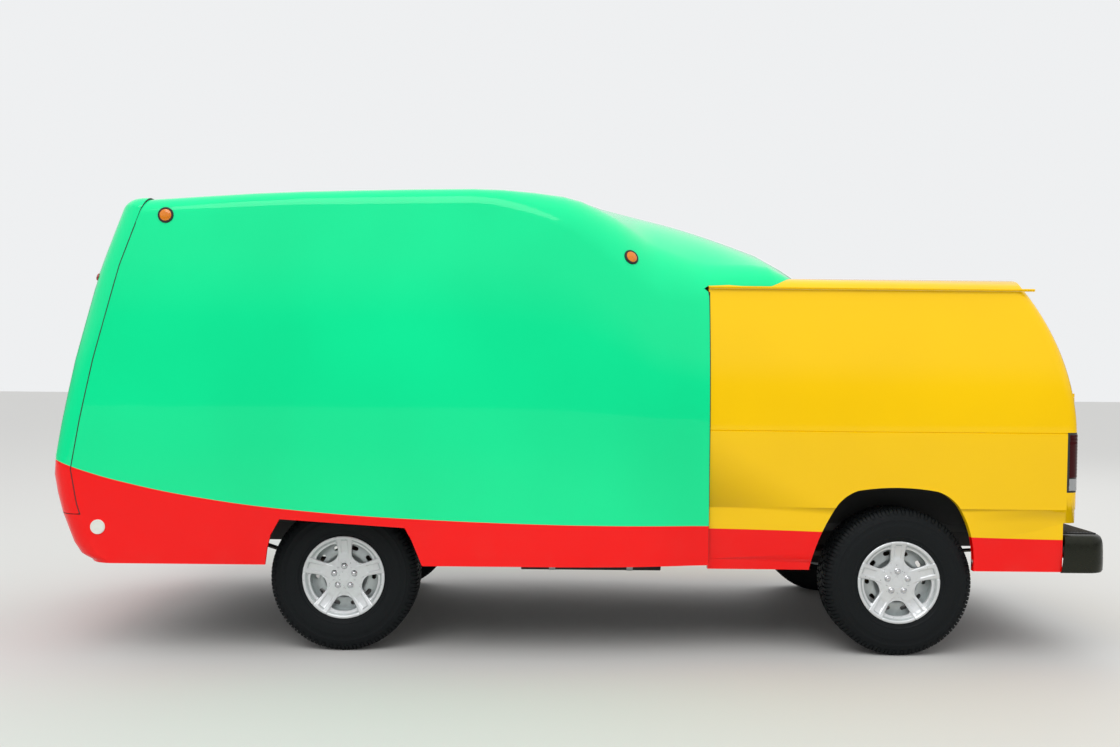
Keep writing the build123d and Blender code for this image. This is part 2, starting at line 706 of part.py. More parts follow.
# Chassis
rail_y = 420.0
rail_width = 60.0
rail_low = 490.0
rail_high = 600.0
rail_front_x = front_axle_x + 1130.0
bumper_front_x = van_tail_x + van_notch_depth + 3.0 - 6.0
bumper_rear_x = rear_axle_x - tail_overhang
bumper_low = 436.0
bumper_high = 628.0
bumper_wall = 6.0
rail_tail_x = van_tail_x + 60.0
cross_high = 590.0
cross_low = 525.0
cross_width = 60.0
jack_pad_x = 200.0
jack_pad_half = 60.0
jack_pad_drop = 12.0
with BuildPart() as chassis_frame:
    for side in (-1, 1):
        y_low, y_high = side * rail_y - rail_width / 2, side * rail_y + rail_width / 2
        add(slab_x(y_low, y_high, rail_low, rail_high, rail_tail_x, rail_front_x))
        web = side * (rail_y - 6.0)
        add(slab_x(web - rail_width / 2, web + rail_width / 2, rail_low + 6.0, rail_high - 6.0,
                   rail_tail_x - 1.0, rail_front_x + 1.0), mode=Mode.SUBTRACT)
    for ahead in (1090.0, 330.0, -1230.0, -2050.0, -3300.0):
        add(slab_y(front_axle_x + ahead - cross_width / 2, front_axle_x + ahead + cross_width / 2,
                   cross_low, cross_high, -rail_y - rail_width / 2 + 3.0, rail_y + rail_width / 2 - 3.0))
    for side in (-1, 1):
        add(slab_x(side * rail_y - rail_width / 2, side * rail_y + rail_width / 2, rail_low - jack_pad_drop,
                   rail_low + 6.0, jack_pad_x - jack_pad_half, jack_pad_x + jack_pad_half))
write(chassis_frame, "chassis_frame")

# Floor plate, cut out under the wheel boxes and the engine's cover
floor_high = rail_high + 40.0
box_sheet = 6.0
coach_floor_half = coach_half_width - coach_wall - seat_gap
front_box_half = 465.0
front_box_inner = 505.0
front_box_high = 806.0
rear_box_half = 450.0
rear_box_inner = 665.0
rear_box_high = 900.0
van_floor_half = 927.0
rear_box_outer = 927.0
cover_half = 300.0
cover_rear = -560.0
cover_front = 260.0
cover_high = 930.0
floor_front = 1150.0
with BuildPart() as floor:
    with BuildSketch(Plane.XY.offset(rail_high)):
        with BuildLine():
            shift = front_axle_x
            Polyline((shift + floor_front, -coach_floor_half), (shift + floor_front, coach_floor_half),
                     (shift - 1100.0, coach_floor_half - 3.0), (shift - 1370.0, coach_floor_half - 18.0),
                     (shift - 1600.0, coach_floor_half - 54.0), (van_front_x, van_floor_half),
                     (van_tail_x + van_notch_depth + van_wall, van_floor_half),
                     (van_tail_x + van_notch_depth + van_wall, -van_floor_half),
                     (van_front_x, -van_floor_half), (shift - 1600.0, -coach_floor_half + 54.0),
                     (shift - 1370.0, -coach_floor_half + 18.0), (shift - 1100.0, -coach_floor_half + 3.0),
                     close=True)
        make_face()
    extrude(amount=floor_high - rail_high)
    boxes = []
    for side in (-1, 1):
        boxes.append((front_axle_x, front_box_half, side, front_box_inner, coach_floor_half, front_box_high))
        boxes.append((rear_axle_x, rear_box_half, side, rear_box_inner, rear_box_outer, rear_box_high))
    for centre_x, half, side, inner, outer, high in boxes:
        y_low, y_high = sorted((side * (inner + box_sheet), side * far))
        add(slab_y(centre_x - half + box_sheet, centre_x + half - box_sheet, rail_high - 1.0, high,
                   y_low, y_high), mode=Mode.SUBTRACT)
    add(slab_x(-cover_half + box_sheet, cover_half - box_sheet, rail_high - 1.0, cover_high,
               front_axle_x + cover_rear + box_sheet, front_axle_x + cover_front - box_sheet),
        mode=Mode.SUBTRACT)
write(floor, "floor")

# Sheet wheel boxes that stand on the floor over its cut-outs, open to the outside
box_foot = floor_high + seat_gap
with BuildPart() as wheel_boxes:
    for centre_x, half, side, inner, outer, high in boxes:
        y_low, y_high = sorted((side * inner, side * outer))
        add(slab_y(centre_x - half, centre_x + half, box_foot, high, y_low, y_high))
    for centre_x, half, side, inner, outer, high in boxes:
        y_low, y_high = sorted((side * (inner + box_sheet), side * far))
        add(slab_y(centre_x - half + box_sheet, centre_x + half - box_sheet, rail_high, high - box_sheet,
                   y_low, y_high), mode=Mode.SUBTRACT)
write(wheel_boxes, "wheel_boxes")

# Cover over the engine, between the seats
with BuildPart() as engine_cover:
    add(slab_x(-cover_half, cover_half, box_foot, cover_high, front_axle_x + cover_rear,
               front_axle_x + cover_front))
    add(slab_x(-cover_half + box_sheet, cover_half - box_sheet, rail_high, cover_high - box_sheet,
               front_axle_x + cover_rear + box_sheet, front_axle_x + cover_front - box_sheet),
        mode=Mode.SUBTRACT)
write(engine_cover, "engine_cover")

# Engine and gearbox as one plain block, on its two mounts
engine_half = 250.0
engine_low = 430.0
engine_high = 890.0
engine_front = 210.0
engine_rear = -500.0
gearbox_half = 140.0
gearbox_rear = -1120.0
gearbox_high = 588.0
with BuildPart() as engine_block:
    add(slab_x(-engine_half, engine_half, engine_low, engine_high, front_axle_x + engine_rear,
               front_axle_x + engine_front))
    fillet(engine_block.edges().filter_by(Axis.X), 40.0)
    add(slab_x(-gearbox_half, gearbox_half, engine_low, gearbox_high, front_axle_x + gearbox_rear,
               front_axle_x + engine_rear + 10.0))
    mount_reach = rail_y - rail_width / 2 - seat_gap
    add(slab_y(front_axle_x - 40.0, front_axle_x + 40.0, cross_low, cross_low + 40.0, -mount_reach, mount_reach))
write(engine_block, "engine_block")

# Rear axle housing with its pinion nose, driveshaft and half-shaft stubs
housing_radius = 40.0
diff_radius = 130.0
nose_radius = 60.0
nose_length = 240.0
backing_y = 690.0
backing_thickness = 7.0
spindle_radius = 20.0
spindle_end_y = wheel_y + 20.0
with BuildPart() as rear_axle:
    with BuildSketch(Plane.XZ.offset(-backing_y)):
        with Locations((rear_axle_x, axle_z)):
            Circle(housing_radius)
    extrude(amount=2 * backing_y)
    with Locations((rear_axle_x, 0, axle_z)):
        Sphere(diff_radius)
    with BuildSketch(Plane.YZ.offset(rear_axle_x)):
        with Locations((0, axle_z)):
            Circle(nose_radius)
    extrude(amount=nose_length)
    for side in (-1, 1):
        outward = Plane(origin=(rear_axle_x, side * backing_y, axle_z), x_dir=(1, 0, 0), z_dir=(0, side, 0))
        with BuildSketch(outward):
            Circle(135.0)
        extrude(amount=backing_thickness)
        with BuildSketch(outward):
            Circle(spindle_radius)
        extrude(amount=spindle_end_y - backing_y)
write(rear_axle, "rear_axle")

shaft_radius = 35.0
shaft_front = Vector(front_axle_x + gearbox_rear - seat_gap, 0, 480.0)
shaft_rear = Vector(rear_axle_x + nose_length + 3.0, 0, axle_z + 4.0)
with BuildPart() as driveshaft:
    shaft_run = shaft_rear - shaft_front
    with BuildSketch(Plane(origin=shaft_front + shaft_run * 0.01, x_dir=(0, 1, 0), z_dir=shaft_run)):
        Circle(shaft_radius)
    extrude(amount=shaft_run.length * 0.98)
    for end, x_low, x_high in ((shaft_front, shaft_front.X - 60.0, shaft_front.X),
                               (shaft_rear, shaft_rear.X - 3.0 + seat_gap, shaft_rear.X + 50.0)):
        with BuildSketch(Plane.YZ.offset(x_low)):
            with Locations((end.Y, end.Z)):
                Circle(shaft_radius + 12.0)
        extrude(amount=x_high - x_low)
write(driveshaft, "driveshaft")

# Leaf springs under the rails: long arcs that get shorter downwards, with an eye at each end
leaf_thickness = 9.0
leaf_count = 4
leaf_step = 0.22
eye_radius = 17.0
front_leaf_half = 560.0
rear_leaf_half = 620.0
eye_z = rail_low - eye_radius - seat_gap
beam_pad_z = 338.0
housing_pad_z = axle_z + housing_radius
with BuildPart() as leaf_springs:
    for centre_x, half, seat_z in ((front_axle_x, front_leaf_half, beam_pad_z),
                                   (rear_axle_x, rear_leaf_half, housing_pad_z)):
        stack = leaf_thickness * leaf_count
        low_z = seat_z + seat_gap + stack
        sag = eye_z - low_z
        bend = (half**2 + sag**2) / (2 * sag)
        for side in (-1, 1):
            with BuildSketch(Plane.XZ.offset(-side * rail_y - rail_width / 2)):
                for leaf in range(leaf_count):
                    reach = half * (1 - leaf_step * leaf)
                    upper = bend + leaf_thickness * leaf
                    lower = upper + leaf_thickness
                    upper_end = low_z + bend - math.sqrt(upper**2 - reach**2)
                    lower_end = low_z + bend - math.sqrt(lower**2 - reach**2)
                    with BuildLine():
                        ThreePointArc((centre_x - reach, lower_end), (centre_x, low_z + bend - lower),
                                      (centre_x + reach, lower_end))
                        Line((centre_x + reach, lower_end), (centre_x + reach, upper_end))
                        ThreePointArc((centre_x + reach, upper_end), (centre_x, low_z + bend - upper),
                                      (centre_x - reach, upper_end))
                        Line((centre_x - reach, upper_end), (centre_x - reach, lower_end))
                    make_face()
                with Locations((centre_x - half, eye_z), (centre_x + half, eye_z)):
                    Circle(eye_radius)
            extrude(amount=rail_width)
write(leaf_springs, "leaf_springs")

# Front axle: a dropped I-beam whose ends hold upright king pins
beam_web = 14.0
beam_flange = 60.0
beam_depth = 70.0
beam_end_z = axle_z
eye_half = 42.0
king_radius = 14.0
with BuildPart() as front_axle:
    with BuildSketch(Plane.YZ.offset(front_axle_x - beam_flange / 2)):
        with BuildLine():
            Polyline((-king_pin_y, beam_end_z - 30.0), (-king_pin_y + 65.0, beam_end_z - 30.0),
                     (-king_pin_y + 180.0, beam_pad_z - beam_depth), (king_pin_y - 180.0, beam_pad_z - beam_depth),
                     (king_pin_y - 65.0, beam_end_z - 30.0), (king_pin_y, beam_end_z - 30.0),
                     (king_pin_y, beam_end_z + 30.0), (king_pin_y - 60.0, beam_end_z + 30.0),
                     (king_pin_y - 200.0, beam_pad_z), (-king_pin_y + 200.0, beam_pad_z),
                     (-king_pin_y + 60.0, beam_end_z + 30.0), (-king_pin_y, beam_end_z + 30.0), close=True)
        make_face()
    extrude(amount=beam_flange)
    for side in (-1, 1):
        face = Plane.YZ.offset(front_axle_x + side * beam_flange / 2)
        with BuildSketch(face):
            with Locations((0, beam_pad_z - beam_depth / 2)):
                Rectangle(2 * (king_pin_y - 190.0), beam_depth - 2 * beam_web)
        extrude(amount=-side * (beam_flange - beam_web) / 2, mode=Mode.SUBTRACT)
        with BuildSketch(Plane.XY.offset(axle_z - eye_half)):
            with Locations((front_axle_x, side * king_pin_y)):
                Circle(32.0)
        extrude(amount=2 * eye_half)
        with BuildSketch(Plane.XY.offset(axle_z - 72.0)):
            with Locations((front_axle_x, side * king_pin_y)):
                Circle(king_radius)
        extrude(amount=144.0)
write(front_axle, "front_axle")

# Knuckles: two ears round the king pin, an outboard web, the wheel's spindle and a steering arm
ear_gap = 6.0
ear_thickness = 22.0
ear_radius = 30.0
web_y = 40.0
web_thickness = 22.0
arm_x = 150.0
arm_in = 70.0
arm_thickness = 20.0
running_gap = 0.3
for side, hand in ((1, "left"), (-1, "right")):
    pin_y = side * king_pin_y
    ear_low_z = axle_z - eye_half - ear_gap - ear_thickness
    with BuildPart() as knuckle:
        for foot in (ear_low_z, axle_z + eye_half + ear_gap):
            with BuildSketch(Plane.XY.offset(foot)):
                with Locations((front_axle_x, pin_y)):
                    Circle(ear_radius)
                with Locations((front_axle_x, pin_y + side * (web_y + web_thickness) / 2)):
                    Rectangle(2 * ear_radius, web_y + web_thickness)
                with Locations((front_axle_x, pin_y)):
                    Circle(king_radius + running_gap, mode=Mode.SUBTRACT)
            extrude(amount=ear_thickness)
        y_low, y_high = sorted((pin_y + side * web_y, pin_y + side * (web_y + web_thickness)))
        add(slab_y(front_axle_x - 60.0, front_axle_x + 60.0, ear_low_z,
                   axle_z + eye_half + ear_gap + ear_thickness, y_low, y_high, 20.0))
        outward = Plane(origin=(front_axle_x, pin_y + side * web_y, axle_z), x_dir=(1, 0, 0), z_dir=(0, side, 0))
        with BuildSketch(outward):
            Circle(spindle_radius)
        extrude(amount=abs(side * spindle_end_y - pin_y) - web_y)
        with BuildSketch(Plane.XY.offset(ear_low_z)):
            with BuildLine():
                Polyline((front_axle_x - 15.0, pin_y + side * 25.0), (front_axle_x - 40.0, pin_y + side * 55.0),
                         (front_axle_x - arm_x - 20.0, pin_y - side * (arm_in - 18.0)),
                         (front_axle_x - arm_x - 20.0, pin_y - side * (arm_in + 18.0)),
                         (front_axle_x - 28.0, pin_y - side * 20.0), close=True)
            make_face()
            with Locations((front_axle_x, pin_y)):
                Circle(king_radius + running_gap, mode=Mode.SUBTRACT)
        extrude(amount=arm_thickness)
    write(knuckle, "knuckle_" + hand)

# Tie rod, below the two steering arms
rod_radius = 13.0
rod_z = axle_z - eye_half - ear_gap - ear_thickness - 7.0 - rod_radius
rod_half = king_pin_y - arm_in + 15.0
with BuildPart() as tie_rod:
    with BuildSketch(Plane.XZ.offset(-rod_half)):
        with Locations((front_axle_x - arm_x, rod_z)):
            Circle(rod_radius)
    extrude(amount=2 * rod_half)
write(tie_rod, "tie_rod")

# Fuel tank under the floor on the left, exhaust on the right
tank_front = -900.0
tank_rear = -1620.0
with BuildPart() as fuel_tank:
    add(slab_x(480.0, 860.0, 405.0, rail_high, front_axle_x + tank_rear, front_axle_x + tank_front, 45.0))
write(fuel_tank, "fuel_tank")

pipe_radius = 28.0
pipe_start_x = front_axle_x - 625.0
pipe_y = -620.0
silencer_rear = -1650.0
silencer_front = -1050.0
with BuildPart() as exhaust:
    with BuildLine() as pipe_path:
        FilletPolyline((pipe_start_x, -gearbox_half, 458.0), (pipe_start_x, pipe_y, 458.0),
                       (rear_axle_x + 620.0, pipe_y, 480.0),
                       (rear_axle_x + 300.0, pipe_y, 520.0), (rear_axle_x - 300.0, pipe_y, 520.0),
                       (rear_axle_x - 520.0, pipe_y, 470.0), (rear_axle_x - 760.0, pipe_y, 450.0), radius=90.0)
    with BuildSketch(Plane(origin=pipe_path.line @ 0, z_dir=pipe_path.line % 0)):
        Circle(pipe_radius)
    sweep()
    with BuildSketch(Plane.YZ.offset(front_axle_x + silencer_rear)):
        with Locations((pipe_y, 475.0)):
            Ellipse(125.0, 75.0)
    extrude(amount=silencer_front - silencer_rear)
write(exhaust, "exhaust")

# Rear step bumper: a channel with side returns, brackets to the rails and a ball hole
bumper_half = 975.0
bumper_chamfer = 55.0
ball_hole_radius = 16.0
plate_hole_radius = 3.5
plate_hole_spacing = 178.0
bracket_half = 30.0
with BuildPart() as rear_bumper:
    for inset, foot, mode in ((0.0, bumper_low, Mode.ADD), (bumper_wall, bumper_low - 1.0, Mode.SUBTRACT)):
        rear = bumper_rear_x + inset
        half = bumper_half - inset
        front = bumper_front_x + (1.0 if inset else 0.0)
        with BuildSketch(Plane.XY.offset(foot)):
            with BuildLine():
                Polyline((front, -half), (rear + bumper_chamfer, -half), (rear, -half + bumper_chamfer),
                         (rear, half - bumper_chamfer), (rear + bumper_chamfer, half), (front, half),
                         close=True)
            make_face()
        extrude(amount=bumper_high - inset - foot, mode=mode)
    for side in (-1, 1):
        add(slab_x(side * rail_y - bracket_half, side * rail_y + bracket_half, rail_low, rail_high,
                   bumper_rear_x + bumper_wall - 1.0, rail_tail_x - seat_gap))
    with Locations(Location(((bumper_front_x + bumper_rear_x) / 2, 0, bumper_high))):
        Hole(ball_hole_radius, depth=3 * bumper_wall)
    for side in (-1, 1):
        rear_face = Plane(origin=(bumper_rear_x, side * plate_hole_spacing / 2, 540.0), x_dir=(0, 1, 0),
                          z_dir=(-1, 0, 0))
        with Locations(rear_face):
            Hole(plate_hole_radius, depth=3 * bumper_wall)
write(rear_bumper, "rear_bumper")

# Wheels: the same tyre, steel wheel and cover at each corner, disc in front and drum behind
rim_radius = 190.5
bead_radius = rim_radius + seat_gap
bead_top = 209.6
sidewall_low = 240.0
sidewall_high = 343.0
flange_radius = 203.0
barrel_radius = 178.0
barrel_half = 100.0
rim_sheet = 4.0
bead_half = barrel_half - rim_sheet - seat_gap
tread_half = 92.0
disc_plane = 32.0
disc_sheet = 6.0
cover_radius = 209.0
cover_plane = 78.0
hub_radius = 48.0
vent_count = 10
spoke_count = 5
with BuildSketch() as cover_window:
    with BuildLine():
        Polyline((97.0, 0), (104.0, 32.0), (158.0, 68.0), (171.0, 36.0), (175.0, 0), (171.0, -36.0),
                 (158.0, -68.0), (104.0, -32.0), close=True)
    make_face()
corners = (
    # name, brake, axle position, side, disc radius, disc width, disc's inner face from the middle
    ("front_left", "disc", front_axle_x, 1, 138.0, 24.0, wheel_y - 775.0),
    ("front_right", "disc", front_axle_x, -1, 138.0, 24.0, wheel_y - 775.0),
    ("rear_left", "drum", rear_axle_x, 1, 142.0, 80.0, wheel_y - 706.0),
    ("rear_right", "drum", rear_axle_x, -1, 142.0, 80.0, wheel_y - 706.0),
)
for corner, brake, axle_x, side, brake_radius, brake_width, brake_in in corners:
    # Local x runs outwards from the middle of the tyre, local y runs up from the axle
    middle = Plane(origin=(axle_x, side * wheel_y, axle_z), x_dir=(0, side, 0), z_dir=(side, 0, 0))
    axle = Axis((axle_x, 0, axle_z), (0, 1, 0))
    outside = Plane(origin=(axle_x, side * wheel_y, axle_z), x_dir=(-side, 0, 0), z_dir=(0, side, 0))
    half = tyre_width / 2
    with BuildPart() as tyre:
        with BuildSketch(middle):
            with BuildLine():
                Polyline((-bead_half, bead_radius), (-bead_half, bead_top), (-half, sidewall_low),
                         (-half, sidewall_high), (-tread_half, tyre_radius), (tread_half, tyre_radius),
                         (half, sidewall_high), (half, sidewall_low), (bead_half, bead_top),
                         (bead_half, bead_radius), close=True)
            make_face()
        revolve(axis=axle)
    write(tyre, "tyre_" + corner)

    with BuildPart() as steel_wheel:
        with BuildSketch(middle):
            with BuildLine():
                Polyline((-barrel_half, flange_radius), (-barrel_half, flange_radius - rim_sheet - 8.0),
                         (-barrel_half + 3.0, rim_radius - rim_sheet), (-barrel_half + 45.0, barrel_radius),
                         (barrel_half - 45.0, barrel_radius), (barrel_half - 3.0, rim_radius - rim_sheet),
                         (barrel_half, flange_radius - rim_sheet - 8.0), (barrel_half, flange_radius),
                         (barrel_half - rim_sheet, flange_radius), (barrel_half - rim_sheet, rim_radius),
                         (barrel_half - 42.0, barrel_radius + rim_sheet),
                         (-barrel_half + 42.0, barrel_radius + rim_sheet),
                         (-barrel_half + rim_sheet, rim_radius), (-barrel_half + rim_sheet, flange_radius),
                         close=True)
            make_face()
            with BuildLine():
                Polyline((disc_plane, 0), (disc_plane, 95.0), (disc_plane + 16.0, 115.0),
                         (disc_plane + 4.0, barrel_radius + 1.0), (disc_plane - 12.0, barrel_radius + 1.0),
                         (disc_plane + 16.0 - disc_sheet, 108.0), (disc_plane - disc_sheet, 88.0),
                         (disc_plane - disc_sheet, 0), close=True)
            make_face()
        revolve(axis=axle)
        with BuildSketch(outside):
            with PolarLocations(145.0, vent_count):
                SlotOverall(38.0, 22.0, rotation=90)
        extrude(amount=barrel_half, mode=Mode.SUBTRACT)
    write(steel_wheel, "wheel_" + corner)

    with BuildPart() as wheel_cover:
        with BuildSketch(middle):
            with BuildLine():
                Polyline((cover_plane - 6.0, 0), (cover_plane - 6.0, 70.0), (cover_plane - 14.0, 120.0),
                         (cover_plane + 2.0, 176.0), (barrel_half + seat_gap, 180.0),
                         (barrel_half + seat_gap, cover_radius), (barrel_half + 6.0, cover_radius),
                         (barrel_half + 9.0, 198.0), (barrel_half + 6.0, 184.0), (cover_plane + 9.0, 176.0),
                         (cover_plane - 6.0, 120.0), (cover_plane + 4.0, 64.0), (cover_plane + 8.0, 0),
                         close=True)
            make_face()
        revolve(axis=axle)
        with BuildSketch(outside):
            with PolarLocations(0, spoke_count, start_angle=36.0):
                add(cover_window.sketch)
        extrude(amount=barrel_half, mode=Mode.SUBTRACT)
        with BuildSketch(outside.offset(cover_plane)):
            with PolarLocations(52.0, spoke_count, start_angle=90.0):
                Circle(13.0)
        extrude(amount=14.0)
        with BuildSketch(outside.offset(disc_plane + seat_gap)):
            Circle(30.0)
        extrude(amount=cover_plane - disc_plane - 2.0)
    write(wheel_cover, "wheel_cover_" + corner)

    with BuildPart() as hub:
        with BuildSketch(middle):
            with BuildLine():
                Polyline((-brake_in, spindle_radius + running_gap), (-brake_in, brake_radius),
                         (-brake_in + brake_width, brake_radius), (-brake_in + brake_width, hub_radius + 30.0),
                         (disc_plane - disc_sheet - seat_gap, hub_radius),
                         (disc_plane - disc_sheet - seat_gap, 0), (22.5, 0),
                         (22.5, spindle_radius + running_gap), close=True)
            make_face()
        revolve(axis=axle)
    write(hub, "brake_" + brake + "_" + corner)

# Cab: driver's seat, dash and steering wheel
seat_y = 470.0
seat_half = 235.0
seat_rear = 500.0
seat_front = 960.0
cushion_low = 880.0
cushion_high = 1010.0
back_high = 1620.0
with BuildPart() as driver_seat:
    add(slab_x(seat_y - 120.0, seat_y + 120.0, floor_high, cushion_low + 10.0, front_axle_x + seat_rear + 60.0,
               front_axle_x + seat_front - 100.0))
    with BuildPart(mode=Mode.PRIVATE) as cushion:
        add(slab_x(seat_y - seat_half, seat_y + seat_half, cushion_low, cushion_high, front_axle_x + seat_rear,
                   front_axle_x + seat_front))
        fillet(cushion.edges(), 40.0)
    add(cushion.part)
    with BuildPart(mode=Mode.PRIVATE) as backrest:
        with BuildSketch(Plane.XZ.offset(-seat_y - seat_half + 15.0)):
            with BuildLine():
                Polyline((front_axle_x + seat_rear, cushion_high - 70.0),
                         (front_axle_x + seat_rear + 110.0, cushion_high - 70.0),
                         (front_axle_x + seat_rear + 20.0, back_high), (front_axle_x + seat_rear - 70.0, back_high),
                         close=True)
            make_face()
        extrude(amount=2 * seat_half - 30.0)
        fillet(backrest.edges(), 30.0)
    add(backrest.part)
write(driver_seat, "driver_seat")

dash_rear = 1110.0
dash_front = 1255.0
dash_low = 900.0
dash_high = 1160.0
dash_half = coach_half_width - coach_wall - seat_gap
with BuildPart() as dash:
    add(slab_x(-dash_half, dash_half, dash_low, dash_high, front_axle_x + dash_rear, front_axle_x + dash_front))
    add(slab_x(seat_y - 190.0, seat_y + 190.0, dash_high - 1.0, dash_high + 70.0, front_axle_x + dash_rear,
               front_axle_x + dash_front - 20.0))
    hood_edges = dash.edges().filter_by(Axis.Y).filter_by_position(Axis.Z, dash_high + 69.0, dash_high + 71.0)
    fillet(hood_edges, 20.0)
write(dash, "dash")

wheel_rim_radius = 205.0
wheel_rim_tube = 14.0
steering_tilt = 38.0
steering_ahead = 960.0
steering_centre = Vector(front_axle_x + steering_ahead, seat_y, 1300.0)
column = Vector(math.cos(math.radians(steering_tilt)), 0, -math.sin(math.radians(steering_tilt)))
with BuildPart() as steering_wheel:
    wheel_plane = Plane(origin=steering_centre, x_dir=(0, 1, 0), z_dir=column)
    with Locations(wheel_plane):
        Torus(wheel_rim_radius, wheel_rim_tube)
        Cylinder(55.0, 36.0)
        with PolarLocations((wheel_rim_radius + 55.0) / 2 - 15.0, 3, start_angle=90.0):
            Box(wheel_rim_radius - 40.0, 34.0, 12.0)
    with BuildSketch(wheel_plane):
        Circle(24.0)
    extrude(amount=(dash_rear - steering_ahead) / math.cos(math.radians(steering_tilt)) + 60.0)
    add(slab_x(-far, far, 300.0, 2000.0, front_axle_x + dash_rear - seat_gap, far), mode=Mode.SUBTRACT)
write(steering_wheel, "steering_wheel")
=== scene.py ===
import json
import math
import bpy
import bmesh
import numpy as np
from mathutils import Matrix, Vector
from mathutils.bvhtree import BVHTree

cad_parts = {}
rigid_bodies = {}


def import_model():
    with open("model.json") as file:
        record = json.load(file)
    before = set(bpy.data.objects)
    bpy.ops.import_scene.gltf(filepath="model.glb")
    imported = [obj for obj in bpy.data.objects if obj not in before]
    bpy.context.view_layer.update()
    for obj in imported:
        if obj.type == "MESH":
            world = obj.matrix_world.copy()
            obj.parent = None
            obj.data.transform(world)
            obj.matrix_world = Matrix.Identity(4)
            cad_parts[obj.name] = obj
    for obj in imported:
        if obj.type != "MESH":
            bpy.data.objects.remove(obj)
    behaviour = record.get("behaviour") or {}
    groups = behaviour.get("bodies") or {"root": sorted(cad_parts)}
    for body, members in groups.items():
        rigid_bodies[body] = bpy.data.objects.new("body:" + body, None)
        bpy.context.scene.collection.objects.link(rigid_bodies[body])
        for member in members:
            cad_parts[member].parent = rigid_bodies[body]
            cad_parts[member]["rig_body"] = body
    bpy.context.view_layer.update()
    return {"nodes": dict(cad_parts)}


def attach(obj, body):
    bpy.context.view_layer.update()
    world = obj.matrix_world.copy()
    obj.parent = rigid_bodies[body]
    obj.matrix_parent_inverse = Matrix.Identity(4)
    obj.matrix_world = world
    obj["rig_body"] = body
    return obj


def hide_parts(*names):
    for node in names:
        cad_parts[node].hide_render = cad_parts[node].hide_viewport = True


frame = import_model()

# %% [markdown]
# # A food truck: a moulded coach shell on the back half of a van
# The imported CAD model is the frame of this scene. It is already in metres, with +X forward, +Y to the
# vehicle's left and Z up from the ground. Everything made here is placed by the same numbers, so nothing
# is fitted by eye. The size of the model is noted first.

nodes = frame["nodes"]
scene = bpy.context.scene

FRONT_AXLE = 1.167
REAR_AXLE = -1.657
AXLE_Z = 0.375
WHEEL_Y = 0.827
VAN_FRONT = FRONT_AXLE - 1.846
VAN_TAIL = REAR_AXLE - 0.900
COACH_HALF = 1.095
VAN_HALF = 0.985

# %% [markdown]
# ## Camera
# The photograph was taken from the left side at eye height, about five metres from the body, with a
# short lens. A camera can be matched by trial, or worked out from known lengths. Here the two wheels
# gave the distance and the lens, and a slight roll lowers the right side of the picture.

# %% Camera at the photograph's place
SENSOR_WIDTH = 36.0
FOCAL_PIXELS = 1083.5
PICTURE_WIDTH = 1120.0
CAMERA_PLACE = (0.076, 6.44, 1.422)
CAMERA_ROLL = 0.0097
camera_data = bpy.data.cameras.new("camera")
camera_data.sensor_width = SENSOR_WIDTH
camera_data.lens = SENSOR_WIDTH * FOCAL_PIXELS / PICTURE_WIDTH
camera = bpy.data.objects.new("camera", camera_data)
scene.collection.objects.link(camera)
facing = Matrix(((-1, 0, 0), (0, 0, 1), (0, 1, 0))).to_4x4()
camera.matrix_world = Matrix.Translation(CAMERA_PLACE) @ facing @ Matrix.Rotation(CAMERA_ROLL, 4, "Z")
scene.camera = camera
print("lens", round(camera_data.lens, 2))

# %% [markdown]
# ## Floor, sky and lamps
# Glossy paint shows its surroundings more than its own light, so the room matters as much as the lamps.
# A photo dome would copy a real street. A plain studio is enough here: a pale floor, a sky that is
# brighter overhead than at eye level, and three large soft lamps. Only the first of them shows in gloss
# paint, because the mirror image of the others would burn a white patch into the falling roof.

# %% Floor
floor_mesh = bpy.data.meshes.new("studio_floor")
reach = 60.0
floor_mesh.from_pydata([(-reach, -reach, 0), (reach, -reach, 0), (reach, reach, 0), (-reach, reach, 0)],
                       [], [(0, 1, 2, 3)])
studio_floor = bpy.data.objects.new("studio_floor", floor_mesh)
scene.collection.objects.link(studio_floor)
floor_material = bpy.data.materials.new("studio_floor")
floor_material.use_nodes = True
floor_shader = floor_material.node_tree.nodes["Principled BSDF"]
floor_shader.inputs["Base Color"].default_value = (0.62, 0.62, 0.60, 1)
floor_shader.inputs["Roughness"].default_value = 0.8
floor_mesh.materials.append(floor_material)

# %% Sky
world = bpy.data.worlds.new("studio")
scene.world = world
world.use_nodes = True
sky_nodes = world.node_tree.nodes
sky_link = world.node_tree.links.new
sky_nodes.clear()
direction = sky_nodes.new("ShaderNodeTexCoord")
parts_of = sky_nodes.new("ShaderNodeSeparateXYZ")
height_ramp = sky_nodes.new("ShaderNodeValToRGB")
lifted = sky_nodes.new("ShaderNodeMapRange")
lifted.inputs["From Min"].default_value = -1.0
light_path = sky_nodes.new("ShaderNodeLightPath")
seen_sky = sky_nodes.new("ShaderNodeBackground")
seen_sky.inputs["Color"].default_value = (0.86, 0.87, 0.88, 1)
room_sky = sky_nodes.new("ShaderNodeBackground")
room_sky.inputs["Strength"].default_value = 0.84
choose = sky_nodes.new("ShaderNodeMixShader")
sky_out = sky_nodes.new("ShaderNodeOutputWorld")
sky_link(direction.outputs["Generated"], parts_of.inputs[0])
sky_link(parts_of.outputs["Z"], lifted.inputs["Value"])
sky_link(lifted.outputs["Result"], height_ramp.inputs["Fac"])
sky_link(height_ramp.outputs["Color"], room_sky.inputs["Color"])
sky_link(light_path.outputs["Is Camera Ray"], choose.inputs["Fac"])
sky_link(room_sky.outputs[0], choose.inputs[1])
sky_link(seen_sky.outputs[0], choose.inputs[2])
sky_link(choose.outputs[0], sky_out.inputs["Surface"])
